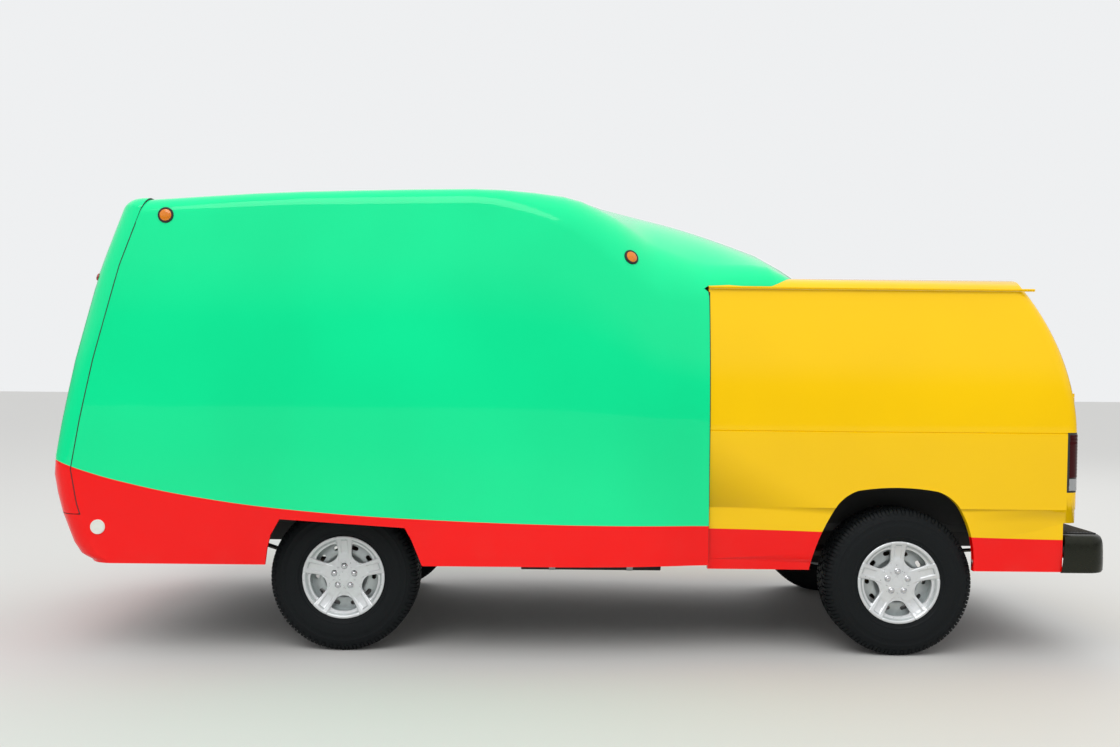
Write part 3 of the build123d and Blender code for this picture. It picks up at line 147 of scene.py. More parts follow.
sky_stops = (
    # height of the direction from 0 (down) to 1 (up), grey level
    (0.0, 0.30), (0.49, 0.26), (0.555, 0.28), (0.60, 0.95), (0.80, 1.20), (1.0, 1.35),
)
ramp = height_ramp.color_ramp.elements
for end in (0, -1):
    ramp[end].position = sky_stops[end][0]
    ramp[end].color = (sky_stops[end][1],) * 3 + (1,)
for place, grey in sky_stops[1:-1]:
    ramp.new(place).color = (grey, grey, grey * 1.02, 1)
print("sky stops", len(sky_stops))

# %% Soft lamps
lamp_table = (
    # name, place, aimed at, size in metres, watts
    ("key_lamp", (2.0, 9.0, 10.0), (0.0, 0.0, 1.0), 9.0, 520.0),
    ("top_lamp", (-1.0, 0.0, 9.0), (-0.5, 0.0, 0.0), 12.0, 70.0),
    ("far_lamp", (-4.5, -9.0, 9.0), (0.0, 0.0, 1.0), 8.0, 210.0),
)
for lamp_name, place, aim, lamp_size, watts in lamp_table:
    lamp_data = bpy.data.lights.new(lamp_name, "AREA")
    lamp_data.shape = "DISK"
    lamp_data.size = lamp_size
    lamp_data.energy = watts
    lamp = bpy.data.objects.new(lamp_name, lamp_data)
    lamp.location = place
    lamp.visible_glossy = lamp_name == "key_lamp"
    lamp.rotation_euler = (Vector(aim) - Vector(place)).to_track_quat("-Z", "Y").to_euler()
    scene.collection.objects.link(lamp)
scene.view_settings.view_transform = "Standard"
print("lamps", len(lamp_table))

# %% [markdown]
# ## Finishes
# Each finish is a small node tree that reads Object coordinates, so a pattern stays on its piece when
# the piece moves. A few helpers keep the trees short: one makes the shader, one adds fine noise, one
# turns a noise into bump.

# %% Helpers for node trees
def finish(name, colour, roughness, metallic=0.0):
    """A new material with its shader set to plain values. Gives the material and its tree."""
    material = bpy.data.materials.new(name)
    material.use_nodes = True
    shader = material.node_tree.nodes["Principled BSDF"]
    shader.inputs["Base Color"].default_value = (*colour, 1)
    shader.inputs["Roughness"].default_value = roughness
    shader.inputs["Metallic"].default_value = metallic
    material.diffuse_color = (*colour, 1)
    return material, material.node_tree


def node(tree, kind, values=None, **settings):
    """A node with its settings and the values of its input sockets."""
    made = tree.nodes.new(kind)
    for key, value in settings.items():
        setattr(made, key, value)
    for key, value in (values or {}).items():
        made.inputs[key].default_value = value
    return made


def place_noise(tree, scale, detail=3.0, stretch=None):
    """Noise on Object coordinates, stretched along the axes if asked."""
    place = node(tree, "ShaderNodeTexCoord")
    made = node(tree, "ShaderNodeTexNoise", {"Scale": scale, "Detail": detail})
    if stretch:
        mapping = node(tree, "ShaderNodeMapping", {"Scale": stretch})
        tree.links.new(place.outputs["Object"], mapping.inputs["Vector"])
        tree.links.new(mapping.outputs["Vector"], made.inputs["Vector"])
    else:
        tree.links.new(place.outputs["Object"], made.inputs["Vector"])
    return made


def place_axes(tree):
    """The outputs X, Y and Z of the Object coordinates."""
    place = node(tree, "ShaderNodeTexCoord")
    axes = node(tree, "ShaderNodeSeparateXYZ")
    tree.links.new(place.outputs["Object"], axes.inputs[0])
    return axes.outputs


def bump_from(tree, height, strength, distance):
    """Bump on the shader's normal from a height output."""
    bump = node(tree, "ShaderNodeBump", {"Strength": strength, "Distance": distance})
    tree.links.new(height, bump.inputs["Height"])
    tree.links.new(bump.outputs["Normal"], tree.nodes["Principled BSDF"].inputs["Normal"])
    return bump


def range_of(tree, value, low, high, out_low, out_high):
    """A value mapped from one range to another and kept inside it."""
    limits = {"From Min": low, "From Max": high, "To Min": out_low, "To Max": out_high}
    made = node(tree, "ShaderNodeMapRange", limits)
    tree.links.new(value, made.inputs["Value"])
    return made.outputs["Result"]


def mixed(tree, factor, first, second):
    """Two colours mixed by a factor; each may be a colour or an output."""
    made = tree.nodes.new("ShaderNodeMix")
    made.data_type = "RGBA"
    tree.links.new(factor, made.inputs["Factor"])
    for socket, value in ((made.inputs[6], first), (made.inputs[7], second)):
        if isinstance(value, tuple):
            socket.default_value = (*value, 1)
        else:
            tree.links.new(value, socket)
    return made.outputs[2]


def linear(red, green, blue):
    """A colour given as 0 to 255 screen values, as the shader wants it."""
    made = []
    for value in (red, green, blue):
        level = value / 255
        made.append(level / 12.92 if level <= 0.04045 else ((level + 0.055) / 1.055) ** 2.4)
    return tuple(made)


# %% [markdown]
# ## Two-colour paint
# The body is painted in two colours with one edge that sweeps down from the nose and runs on level to
# the tail. Splitting the mesh along that edge would leave its mark in the shape. Here the material
# looks up the height of the edge from a curve along the vehicle and compares it with the point's own
# height, so the edge is as sharp as masked paint on every panel it crosses.

# %% Paint with its edge
PAINT_REACH = 2.8
ROAD_DUST = (0.30, 0.25, 0.19)


def two_colour_paint(name, upper, lower, edge_rows):
    """Glossy paint: upper colour over lower colour, with the edge at the heights in edge_rows."""
    material, tree = finish(name, upper, 0.16)
    shader = tree.nodes["Principled BSDF"]
    shader.inputs["Specular IOR Level"].default_value = 0.05
    shader.inputs["Coat Weight"].default_value = 0.50
    shader.inputs["Coat Roughness"].default_value = 0.03
    axes = place_axes(tree)
    along = range_of(tree, axes["X"], -PAINT_REACH, PAINT_REACH, 0.0, 1.0)
    curve = tree.nodes.new("ShaderNodeFloatCurve")
    points = curve.mapping.curves[0].points
    rows = [((x + PAINT_REACH) / (2 * PAINT_REACH), z) for x, z in sorted(edge_rows)]
    points[0].location = rows[0]
    points[1].location = rows[-1]
    for share, z in rows[1:-1]:
        points.new(share, z)
    curve.mapping.update()
    tree.links.new(along, curve.inputs["Value"])
    above = node(tree, "ShaderNodeMath", operation="SUBTRACT")
    tree.links.new(axes["Z"], above.inputs[0])
    tree.links.new(curve.outputs["Value"], above.inputs[1])
    mask = range_of(tree, above.outputs[0], -0.001, 0.001, 0.0, 1.0)
    drift = place_noise(tree, 0.9, 2.0)
    shade = range_of(tree, drift.outputs["Fac"], 0.35, 0.65, 0.0, 1.0)
    upper_tone = mixed(tree, shade, tuple(c * 0.94 for c in upper), tuple(min(c * 1.03, 1.0) for c in upper))
    lower_tone = mixed(tree, shade, tuple(c * 0.93 for c in lower), tuple(min(c * 1.03, 1.0) for c in lower))
    body_colour = mixed(tree, mask, lower_tone, upper_tone)
    dust = place_noise(tree, 7.0, 6.0)
    low_down = range_of(tree, axes["Z"], 0.42, 0.72, 1.0, 0.0)
    dusty = node(tree, "ShaderNodeMath", operation="MULTIPLY")
    tree.links.new(range_of(tree, dust.outputs["Fac"], 0.45, 0.75, 0.0, 0.03), dusty.inputs[0])
    tree.links.new(low_down, dusty.inputs[1])
    tree.links.new(mixed(tree, dusty.outputs[0], body_colour, ROAD_DUST), shader.inputs["Base Color"])
    tree.links.new(range_of(tree, dust.outputs["Fac"], 0.3, 0.8, 0.13, 0.22), shader.inputs["Roughness"])
    peel = place_noise(tree, 90.0, 1.0)
    bump_from(tree, peel.outputs["Fac"], 0.03, 0.002)
    return material


GREEN = linear(4, 232, 150)
RED = linear(248, 4, 2)
YELLOW = linear(254, 203, 2)
coach_edge = (
    # along X, height of the paint edge
    (2.71, 0.985), (2.60, 0.972), (2.518, 0.951), (2.44, 0.925), (2.251, 0.872), (1.852, 0.793),
    (1.359, 0.733), (0.643, 0.690), (-0.615, 0.663), (-1.35, 0.655),
)
van_edge = (
    (-0.60, 0.648), (-1.032, 0.641), (-1.248, 0.635), (-2.189, 0.610), (-2.60, 0.604),
)
coach_paint = two_colour_paint("coach_paint", GREEN, RED, coach_edge)
van_paint = two_colour_paint("van_paint", YELLOW, RED, van_edge)
print("paints", coach_paint.name, van_paint.name)

# %% [markdown]
# ## The other finishes
# Glass, lamp lenses, silver plastic, steel, cast iron, chassis paint, lining, rubber and cloth. Each has
# its own fine noise in colour, roughness or bump, at the scale the real surface has.

# %% Glass and lenses
def clear_finish(name, colour, roughness, through, cover=1.0, coat=0.5):
    """Glass or lens. Thin panes let light straight past by their cover, thick lenses bend it."""
    material, tree = finish(name, colour, roughness)
    shader = tree.nodes["Principled BSDF"]
    shader.inputs["Transmission Weight"].default_value = through
    shader.inputs["IOR"].default_value = 1.45
    shader.inputs["Coat Weight"].default_value = coat
    shader.inputs["Specular IOR Level"].default_value = coat
    shader.inputs["Alpha"].default_value = cover
    ripple = place_noise(tree, 12.0, 1.0)
    bump_from(tree, ripple.outputs["Fac"], 0.02, 0.002)
    return material


window_glass = clear_finish("window_glass", linear(40, 50, 48), 0.03, 0.0, cover=0.40)
clear_lens = clear_finish("clear_lens", linear(225, 228, 230), 0.05, 0.6)
amber_lens = clear_finish("amber_lens", linear(250, 140, 10), 0.12, 0.25)
red_lens = clear_finish("red_lens", linear(170, 12, 10), 0.10, 0.25)
dark_red_lens = clear_finish("dark_red_lens", linear(58, 4, 6), 0.12, 0.0, coat=0.12)

# %% Silver, steel, iron, black metal
def worn_metal(name, colour, roughness, metallic, scale, spread, bump, stretch=None):
    """Metal or paint on metal whose tone, gloss and surface vary with fine noise."""
    material, tree = finish(name, colour, roughness, metallic)
    shader = tree.nodes["Principled BSDF"]
    grain = place_noise(tree, scale, 5.0, stretch)
    tone = range_of(tree, grain.outputs["Fac"], 0.3, 0.7, 0.0, 1.0)
    dark = tuple(c * (1 - spread) for c in colour)
    light = tuple(min(c * (1 + spread), 1.0) for c in colour)
    tree.links.new(mixed(tree, tone, dark, light), shader.inputs["Base Color"])
    tree.links.new(range_of(tree, grain.outputs["Fac"], 0.3, 0.7, roughness * 0.8, roughness * 1.2),
                   shader.inputs["Roughness"])
    bump_from(tree, grain.outputs["Fac"], bump, 0.002)
    return material


cover_silver = worn_metal("cover_silver", linear(218, 221, 222), 0.34, 0.42, 60.0, 0.03, 0.004)
steel_silver = worn_metal("steel_silver", linear(186, 192, 192), 0.42, 0.55, 40.0, 0.08, 0.02)
raw_iron = worn_metal("raw_iron", linear(92, 84, 78), 0.7, 0.6, 90.0, 0.30, 0.35)
chassis_black = worn_metal("chassis_black", linear(34, 34, 34), 0.55, 0.2, 55.0, 0.30, 0.15)
bumper_grey = worn_metal("bumper_grey", linear(34, 36, 26), 0.30, 0.60, 45.0, 0.08, 0.03)
engine_grey = worn_metal("engine_grey", linear(105, 105, 102), 0.6, 0.6, 70.0, 0.22, 0.3)
pipe_steel = worn_metal("pipe_steel", linear(140, 120, 98), 0.5, 0.8, 30.0, 0.25, 0.2)
floor_paint = worn_metal("floor_paint", linear(58, 60, 60), 0.65, 0.0, 40.0, 0.15, 0.2)
seal_rubber = worn_metal("seal_rubber", linear(26, 26, 26), 0.6, 0.0, 80.0, 0.15, 0.1)
trim_plastic = worn_metal("trim_plastic", linear(38, 38, 38), 0.5, 0.0, 220.0, 0.12, 0.25)
white_plastic = worn_metal("white_plastic", linear(226, 228, 220), 0.35, 0.0, 50.0, 0.03, 0.03)
chrome_trim = worn_metal("chrome_trim", linear(215, 216, 218), 0.12, 1.0, 30.0, 0.03, 0.02)
lining = worn_metal("lining", linear(206, 204, 194), 0.7, 0.0, 35.0, 0.05, 0.12)

# %% Below the floor the lining turns near black: painted shade under the floor
FLOOR_TOP = 0.640
lining_tree = lining.node_tree
lining_shader = lining_tree.nodes["Principled BSDF"]
lining_tone = lining_shader.inputs["Base Color"].links[0].from_socket
# Painted shade: below the floor top the lining is mixed to near black, where the inside under the floor lies
# in shadow
clear_of_painted_shade = range_of(lining_tree, place_axes(lining_tree)["Z"], FLOOR_TOP - 0.002, FLOOR_TOP, 0.0, 1.0)
lining_and_painted_shade = mixed(lining_tree, clear_of_painted_shade, linear(26, 26, 26), lining_tone)
lining_tree.links.new(lining_and_painted_shade, lining_shader.inputs["Base Color"])

# %% Tyre rubber and seat cloth
tyre_rubber = worn_metal("tyre_rubber", linear(16, 20, 22), 0.62, 0.0, 70.0, 0.18, 0.18)
rubber_shader = tyre_rubber.node_tree.nodes["Principled BSDF"]
rubber_shader.inputs["Specular IOR Level"].default_value = 0.18
cloth, cloth_tree = finish("seat_cloth", linear(62, 64, 70), 0.9)
weave_place = node(cloth_tree, "ShaderNodeTexCoord")
weave = node(cloth_tree, "ShaderNodeTexWave", {"Scale": 160.0, "Distortion": 0.6})
cloth_tree.links.new(weave_place.outputs["Object"], weave.inputs["Vector"])
cloth_tree.links.new(mixed(cloth_tree, weave.outputs["Fac"], linear(48, 50, 56), linear(78, 80, 86)),
                     cloth_tree.nodes["Principled BSDF"].inputs["Base Color"])
bump_from(cloth_tree, weave.outputs["Fac"], 0.4, 0.002)
cloth_tree.nodes["Principled BSDF"].inputs["Sheen Weight"].default_value = 0.3
print("finishes", len(bpy.data.materials))

# %% [markdown]
# ## Rounding the shading of the CAD panels
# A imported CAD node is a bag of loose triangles, shaded flat. Its shape is right, so the panel is copied,
# its doubled corners are merged, and edges under a small angle are shaded smooth. The copy then stands
# for the node. On the coach body that is not enough: the reflection in gloss paint shows every facet.
# There each corner of the mesh takes its normal from the exact form that the moulding was drawn from.

# %% Copy a node with smooth shading
SHARP_ANGLE = 30.0


def smooth_copy(node_name, material):
    """A merged and smoothly shaded copy of a CAD node that stands for it."""
    source = nodes[node_name]
    mesh = source.data.copy()
    form = bmesh.new()
    form.from_mesh(mesh)
    bmesh.ops.remove_doubles(form, verts=form.verts, dist=0.00002)
    bmesh.ops.dissolve_degenerate(form, edges=form.edges, dist=0.00001)
    form.to_mesh(mesh)
    form.free()
    mesh.shade_smooth()
    mesh.set_sharp_from_angle(angle=math.radians(SHARP_ANGLE))
    piece = bpy.data.objects.new(node_name + "_skin", mesh)
    scene.collection.objects.link(piece)
    mesh.materials.clear()
    mesh.materials.append(material)
    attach(piece, source["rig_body"])
    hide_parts(node_name)
    return piece


# %% [markdown]
# ## The form of the coach moulding
# The moulding is drawn by stations along the vehicle. Each gives the half width, how far the side leans
# in, where the roof's rounding starts, its radius and the height of the roof. Between stations the
# values follow curves that never overshoot. A straight blend would show a crease at each station.

# %% Stations of the moulding
BELT_Z = 1.150
SILL_Z = 0.465
FLAT_STEPS = 6
ARC_STEPS = 24
coach_stations = (
    # ahead of front axle, half width, tumble, edge height, corner radius, roof height
    (1.600, 1.095, 0.035, 2.150, 0.090, 2.250),
    (0.950, 1.095, 0.035, 2.196, 0.090, 2.290),
    (0.200, 1.095, 0.035, 2.243, 0.090, 2.356),
    (-0.650, 1.095, 0.035, 2.260, 0.095, 2.380),
    (-1.100, 1.092, 0.035, 2.140, 0.205, 2.372),
    (-1.370, 1.077, 0.038, 1.950, 0.330, 2.352),
    (-1.600, 1.043, 0.047, 1.800, 0.400, 2.312),
    (-1.846, 0.994, 0.055, 1.780, 0.340, 2.246),
    (-2.160, 0.980, 0.055, 1.820, 0.220, 2.122),
    (-2.500, 0.970, 0.055, 1.720, 0.120, 1.935),
)


def eased(rows, steps):
    """Rows of a table with extra rows between them, on smooth curves that never overshoot."""
    slopes = []
    for place, row in enumerate(rows):
        before = rows[max(place - 1, 0)]
        after = rows[min(place + 1, len(rows) - 1)]
        slope = []
        for column in range(1, len(row)):
            left = (row[column] - before[column]) / ((row[0] - before[0]) or 1.0)
            right = (after[column] - row[column]) / ((after[0] - row[0]) or 1.0)
            slope.append(0.0 if left * right <= 0 else 2 * left * right / (left + right))
        slopes.append(slope)
    result = []
    for place in range(len(rows) - 1):
        first, last = rows[place], rows[place + 1]
        span = last[0] - first[0]
        for step in range(steps):
            t = step / steps
            row = [first[0] + t * span]
            for column in range(1, len(first)):
                value = (2 * t**3 - 3 * t**2 + 1) * first[column] + (3 * t**2 - 2 * t**3) * last[column]
                value += (t**3 - 2 * t**2 + t) * slopes[place][column - 1] * span
                value += (t**3 - t**2) * slopes[place + 1][column - 1] * span
                row.append(value)
            result.append(tuple(row))
    result.append(rows[-1])
    return result


def coach_section(width, tumble, edge, radius, roof):
    """Half of one section of the moulding, as (y, z) points from the sill up to the middle of the roof."""
    rise = edge - BELT_Z
    side_radius = (rise**2 + tumble**2) / (2 * tumble)
    lean = math.asin(rise / side_radius)
    centre = (width - tumble - radius * math.cos(lean), edge - radius * math.sin(lean))
    lift = roof - centre[1]
    crown = (centre[0] ** 2 + lift**2 - radius**2) / (2 * (lift - radius))
    reach = math.atan2(centre[1] - (roof - crown), centre[0])
    points = [(width, SILL_Z + (BELT_Z - SILL_Z) * k / FLAT_STEPS) for k in range(FLAT_STEPS)]
    for turned in [lean * k / ARC_STEPS for k in range(ARC_STEPS)]:
        across = width - side_radius + side_radius * math.cos(turned)
        points.append((across, BELT_Z + side_radius * math.sin(turned)))
    for turned in [lean + (reach - lean) * k / ARC_STEPS for k in range(ARC_STEPS)]:
        points.append((centre[0] + radius * math.cos(turned), centre[1] + radius * math.sin(turned)))
    for turned in [reach + (math.pi / 2 - reach) * k / ARC_STEPS for k in range(ARC_STEPS + 1)]:
        points.append((crown * math.cos(turned), roof - crown + crown * math.sin(turned)))
    return points


def grid_faces(count, width):
    """Faces of a grid of count rows with width corners each."""
    return [(i * width + j, i * width + j + 1, (i + 1) * width + j + 1, (i + 1) * width + j)
            for i in range(count - 1) for j in range(width - 1)]


def grid_form(rows):
    """Corners, faces and corner normals of a grid of points, for looking up the nearest normal."""
    grid = np.array(rows, float)
    along = np.gradient(grid, axis=0)
    across = np.gradient(grid, axis=1)
    normals = np.cross(along, across)
    normals /= np.maximum(np.linalg.norm(normals, axis=2, keepdims=True), 1e-12)
    count, width = grid.shape[:2]
    return grid.reshape(-1, 3), grid_faces(count, width), normals.reshape(-1, 3)


coach_rows = []
for ahead, width, tumble, edge, radius, roof in eased(coach_stations, 14):
    half = coach_section(width, tumble, edge, radius, roof)
    outline = half + [(-y, z) for y, z in reversed(half[:-1])]
    coach_rows.append([(FRONT_AXLE + ahead, y, z) for y, z in outline])
coach_form = grid_form(coach_rows)
print("coach form", len(coach_rows), "stations of", len(coach_rows[0]), "points")

# %% Normals from a form
NORMAL_LIMIT = math.cos(math.radians(25.0))


def take_normals(piece, form, near=0.003):
    """Corners of the piece that lie on the form, on faces that face its way, take its normals."""
    corners, faces, normals = form
    lookup = BVHTree.FromPolygons([tuple(c) for c in corners], faces)
    mesh = piece.data
    taken = 0
    loop_normals = [Vector(n.vector) for n in mesh.corner_normals]
    found = {}
    for vertex in mesh.vertices:
        spot, _, index, distance = lookup.find_nearest(vertex.co)
        if spot is None or distance > near:
            continue
        face = faces[index]
        weights = [1.0 / (1e-9 + (Vector(corners[c]) - spot).length_squared) for c in face]
        normal = Vector((0, 0, 0))
        for corner, weight in zip(face, weights):
            normal += Vector(normals[corner]) * weight
        found[vertex.index] = normal.normalized()
    for polygon in mesh.polygons:
        for loop in polygon.loop_indices:
            normal = found.get(mesh.loops[loop].vertex_index)
            if normal is not None and normal.dot(polygon.normal) > NORMAL_LIMIT:
                loop_normals[loop] = normal
                taken += 1
    mesh.normals_split_custom_set(loop_normals)
    print(piece.name, "normals taken", taken, "of", len(loop_normals))


# %% The form of the front cap
SIDE_RISE = 2.243 - BELT_Z
SIDE_TUMBLE = 0.035
SIDE_BOW = (SIDE_RISE**2 + SIDE_TUMBLE**2) / (2 * SIDE_TUMBLE)
CAP_CORNER = 0.140
CAP_CROWN = 0.143
CAP_DEPTH = 0.200
SEAM_LAP = 0.006
LEDGE_Z = 1.835
nose_lower = (
    # height, ahead of the front axle
    (0.465, 1.165), (0.505, 1.228), (0.560, 1.265), (0.710, 1.336), (0.990, 1.397), (1.467, 1.344),
    (LEDGE_Z, 1.257),
)
nose_upper = ((LEDGE_Z, 1.238), (2.070, 1.175), (2.180, 1.130), (2.286, 1.098))
seam_rows = (
    # height, ahead of the front axle
    (0.300, 1.000), (0.465, 1.114), (0.505, 1.177), (0.560, 1.214), (0.707, 1.2716), (0.760, 1.289),
    (0.928, 1.320), (1.168, 1.279), (1.468, 1.217), (1.938, 1.097), (2.500, 0.900),
)
seam_heights = [row[0] for row in seam_rows]
seam_places = [row[1] for row in seam_rows]


def side_y(z):
    """Half width of the coach body at height z."""
    return COACH_HALF - SIDE_BOW + math.sqrt(SIDE_BOW**2 - max(z - BELT_Z, 0.0) ** 2)


def seam_ahead(z):
    """How far ahead of the front axle the cap's seam lies at height z."""
    return float(np.interp(z, seam_heights, seam_places))


def nose_outline(z, ahead):
    """The cap's level outline at z: where the side ends, its corner and its wide nose arc."""
    half = side_y(z)
    crown_x = ahead + CAP_CROWN
    side_end = min(seam_ahead(z) - SEAM_LAP, crown_x - CAP_DEPTH)
    centre_y = half - CAP_CORNER
    depth = crown_x - side_end
    nose = (centre_y**2 + depth**2 - CAP_CORNER**2) / (2 * (depth - CAP_CORNER))
    reach = math.atan2(side_end - (crown_x - nose), centre_y)
    return half, crown_x, side_end, centre_y, nose, reach


smooth_lower = eased(nose_lower, 8)
smooth_upper = eased(nose_upper, 8)


def cap_x(y, z):
    """Where the cap's face lies along X at a place (y, z)."""
    rows = smooth_lower if z <= LEDGE_Z else smooth_upper
    ahead = float(np.interp(z, [row[0] for row in rows], [row[1] for row in rows]))
    half, crown_x, side_end, centre_y, nose, reach = nose_outline(z, ahead)
    if abs(y) < centre_y + CAP_CORNER * math.cos(reach):
        return FRONT_AXLE + crown_x - nose + math.sqrt(nose**2 - y**2)
    return FRONT_AXLE + side_end + math.sqrt(max(CAP_CORNER**2 - (abs(y) - centre_y) ** 2, 0.0))


def cap_rows(rows):
    """Level rows of points on the cap: side, corner, wide nose, and the same on the other side."""
    made = []
    for z, ahead in rows:
        half, crown_x, side_end, centre_y, nose, reach = nose_outline(z, ahead)
        points = [(side_end - 0.40 + 0.08 * k, half) for k in range(5)]
        for turned in [reach * k / 16 for k in range(17)]:
            across = centre_y + CAP_CORNER * math.cos(turned)
            points.append((side_end + CAP_CORNER * math.sin(turned), across))
        for turned in [reach + (math.pi / 2 - reach) * k / 24 for k in range(1, 25)]:
            points.append((crown_x - nose + nose * math.sin(turned), nose * math.cos(turned)))
        whole = points + [(x, -y) for x, y in reversed(points[:-1])]
        made.append([(FRONT_AXLE + x, y, z) for x, y in whole])
    return made


cap_lower_form = grid_form(cap_rows(smooth_lower))
cap_upper_form = grid_form(cap_rows(smooth_upper))
print("cap form", len(smooth_lower), "and", len(smooth_upper), "levels")

# %% [markdown]
# ## Painted outside, lined inside
# Through the glass and the open doors the back of each panel shows, and it isn't painted in the body's
# colours. A second mesh inside would cost triangles and could clip. The copies already hold the inner
# faces, so those whose normal points at the middle of the vehicle take a pale lining instead.

# %% Lining on the inner faces
COACH_BACK, COACH_FRONT = -0.9, 1.9
MIDDLE_Z = 1.25
FACING_LIMIT = 0.35


def line_inside(piece, back, front):
    """Faces that look at the line from back to front, in the vehicle's middle, take the lining."""
    mesh = piece.data
    mesh.materials.append(lining)
    count = 0
    for polygon in mesh.polygons:
        spot = polygon.center
        inward = Vector((min(max(spot.x, back), front), 0.0, MIDDLE_Z)) - spot
        if polygon.normal.dot(inward.normalized()) > FACING_LIMIT:
            polygon.material_index = 1
            count += 1
    print(piece.name, "lined faces", count)


# %% The coach shell and the panels cut from it
coach_panels = {}
for panel_name in ("coach_shell_left", "coach_shell_right", "cab_door", "service_hatch", "counter_flap"):
    panel = smooth_copy(panel_name, coach_paint)
    take_normals(panel, coach_form)
    line_inside(panel, COACH_BACK, COACH_FRONT)
    coach_panels[panel_name] = panel
front_cap = smooth_copy("front_cap", coach_paint)
take_normals(front_cap, cap_lower_form, near=0.004)
take_normals(front_cap, cap_upper_form, near=0.004)
line_inside(front_cap, COACH_BACK, COACH_FRONT)

# %% Dark walls in the cap's seam
SEAM_REACH = 0.0024
GROOVE_FOOT = 0.703
GROOVE_WIDTH = 0.004
NEAR = 0.0004
SEAM_REGION = FRONT_AXLE + 0.85


def in_groove(corner):
    """True where a corner lies in the seam, or in the groove that runs on over the valance."""
    off_seam = abs(corner.x - FRONT_AXLE - seam_ahead(corner.z))
    over_foot = corner.z - GROOVE_FOOT
    return (over_foot > -NEAR and off_seam < SEAM_REACH) or -NEAR < over_foot < GROOVE_WIDTH + NEAR


for piece in (coach_panels["coach_shell_left"], coach_panels["coach_shell_right"], front_cap):
    mesh = piece.data
    mesh.materials.append(seal_rubber)
    in_seam = [in_groove(vertex.co) for vertex in mesh.vertices]
    sealed = 0
    for polygon in mesh.polygons:
        if polygon.center.x > SEAM_REGION and all(in_seam[index] for index in polygon.vertices):
            polygon.material_index = len(mesh.materials) - 1
            sealed += 1
    print(piece.name, "seam faces", sealed)

# %% The van's panels
for panel_name in ("van_roof", "van_side_left", "van_side_right", "rear_door_left", "rear_door_right"):
    line_inside(smooth_copy(panel_name, van_paint), VAN_TAIL + 0.30, VAN_FRONT)

# %% Glass, lamps and the pieces that keep their own mesh
for glass_name in ("windscreen", "cab_door_glass", "rear_glass_left", "rear_glass_right"):
    smooth_copy(glass_name, window_glass)
for node_name, material in (
    ("grille", trim_plastic), ("dash", trim_plastic), ("steering_wheel", trim_plastic),
    ("driver_seat", cloth), ("chassis_frame", chassis_black), ("floor", floor_paint),
    ("engine_block", engine_grey), ("rear_axle", chassis_black), ("driveshaft", chassis_black),
    ("leaf_springs", raw_iron), ("front_axle", chassis_black), ("knuckle_left", raw_iron),
    ("knuckle_right", raw_iron), ("tie_rod", chassis_black), ("fuel_tank", chassis_black),
    ("exhaust", pipe_steel), ("wheel_boxes", floor_paint), ("engine_cover", trim_plastic),
):
    smooth_copy(node_name, material)
for corner in ("front_left", "front_right", "rear_left", "rear_right"):
    smooth_copy("wheel_" + corner, steel_silver)
    smooth_copy(("brake_disc_" if "front" in corner else "brake_drum_") + corner, raw_iron)

# %% [markdown]
# ## Copies round an axle
# Tread blocks, spokes, nuts and studs all repeat round the axle. One Geometry Nodes tree does it for
# all of them: it places a number of points on the axle, turns an instance of the piece at each by its
# share of a full turn, and makes the instances real. Changing one number changes the whole ring.

# %% The ring tree
def ring_tree(name, material):
    """The node tree that sets copies of a piece round the Y axis."""
    tree = bpy.data.node_groups.new(name, "GeometryNodeTree")
    tree.interface.new_socket("Piece", in_out="INPUT", socket_type="NodeSocketGeometry")
    tree.interface.new_socket("Copies", in_out="INPUT", socket_type="NodeSocketInt")
    tree.interface.new_socket("First Angle", in_out="INPUT", socket_type="NodeSocketFloat")
    tree.interface.new_socket("Ring", in_out="OUTPUT", socket_type="NodeSocketGeometry")
    entry = tree.nodes.new("NodeGroupInput")
    result = tree.nodes.new("NodeGroupOutput")
    points = tree.nodes.new("GeometryNodePoints")
    index = tree.nodes.new("GeometryNodeInputIndex")
    share = node(tree, "ShaderNodeMath", {0: 2 * math.pi}, operation="DIVIDE")
    turn = node(tree, "ShaderNodeMath", operation="MULTIPLY_ADD")
    angles = tree.nodes.new("ShaderNodeCombineXYZ")
    instances = tree.nodes.new("GeometryNodeInstanceOnPoints")
    real = tree.nodes.new("GeometryNodeRealizeInstances")
    paint = node(tree, "GeometryNodeSetMaterial", {"Material": material})
    link = tree.links.new
    link(entry.outputs["Copies"], points.inputs["Count"])
    link(entry.outputs["Copies"], share.inputs[1])
    link(index.outputs["Index"], turn.inputs[0])
    link(share.outputs[0], turn.inputs[1])
    link(entry.outputs["First Angle"], turn.inputs[2])
    link(turn.outputs[0], angles.inputs["Y"])
    link(points.outputs[0], instances.inputs["Points"])
    link(entry.outputs["Piece"], instances.inputs["Instance"])
    link(angles.outputs[0], instances.inputs["Rotation"])
    link(instances.outputs[0], real.inputs[0])
    link(real.outputs[0], paint.inputs["Geometry"])
    link(paint.outputs[0], result.inputs["Ring"])
    return tree


def ring_of(piece_mesh, copies, material, first_angle=0.0, merge=0.0):
    """A plain mesh: that many copies of the piece round the Y axis."""
    holder = bpy.data.objects.new("ring", piece_mesh)
    scene.collection.objects.link(holder)
    tree = ring_tree("ring_" + material.name, material)
    modifier = holder.modifiers.new("ring", "NODES")
    modifier.node_group = tree
    inputs = [item for item in tree.interface.items_tree if item.in_out == "INPUT"]
    sockets = {item.name: item.identifier for item in inputs}
    modifier[sockets["Copies"]] = copies
    modifier[sockets["First Angle"]] = first_angle
    ready = holder.evaluated_get(bpy.context.evaluated_depsgraph_get())
    mesh = bpy.data.meshes.new_from_object(ready)
    bpy.data.objects.remove(holder)
    if merge:
        form = bmesh.new()
        form.from_mesh(mesh)
        bmesh.ops.remove_doubles(form, verts=form.verts, dist=merge)
        bmesh.ops.recalc_face_normals(form, faces=form.faces)
        form.to_mesh(mesh)
        form.free()
    return mesh


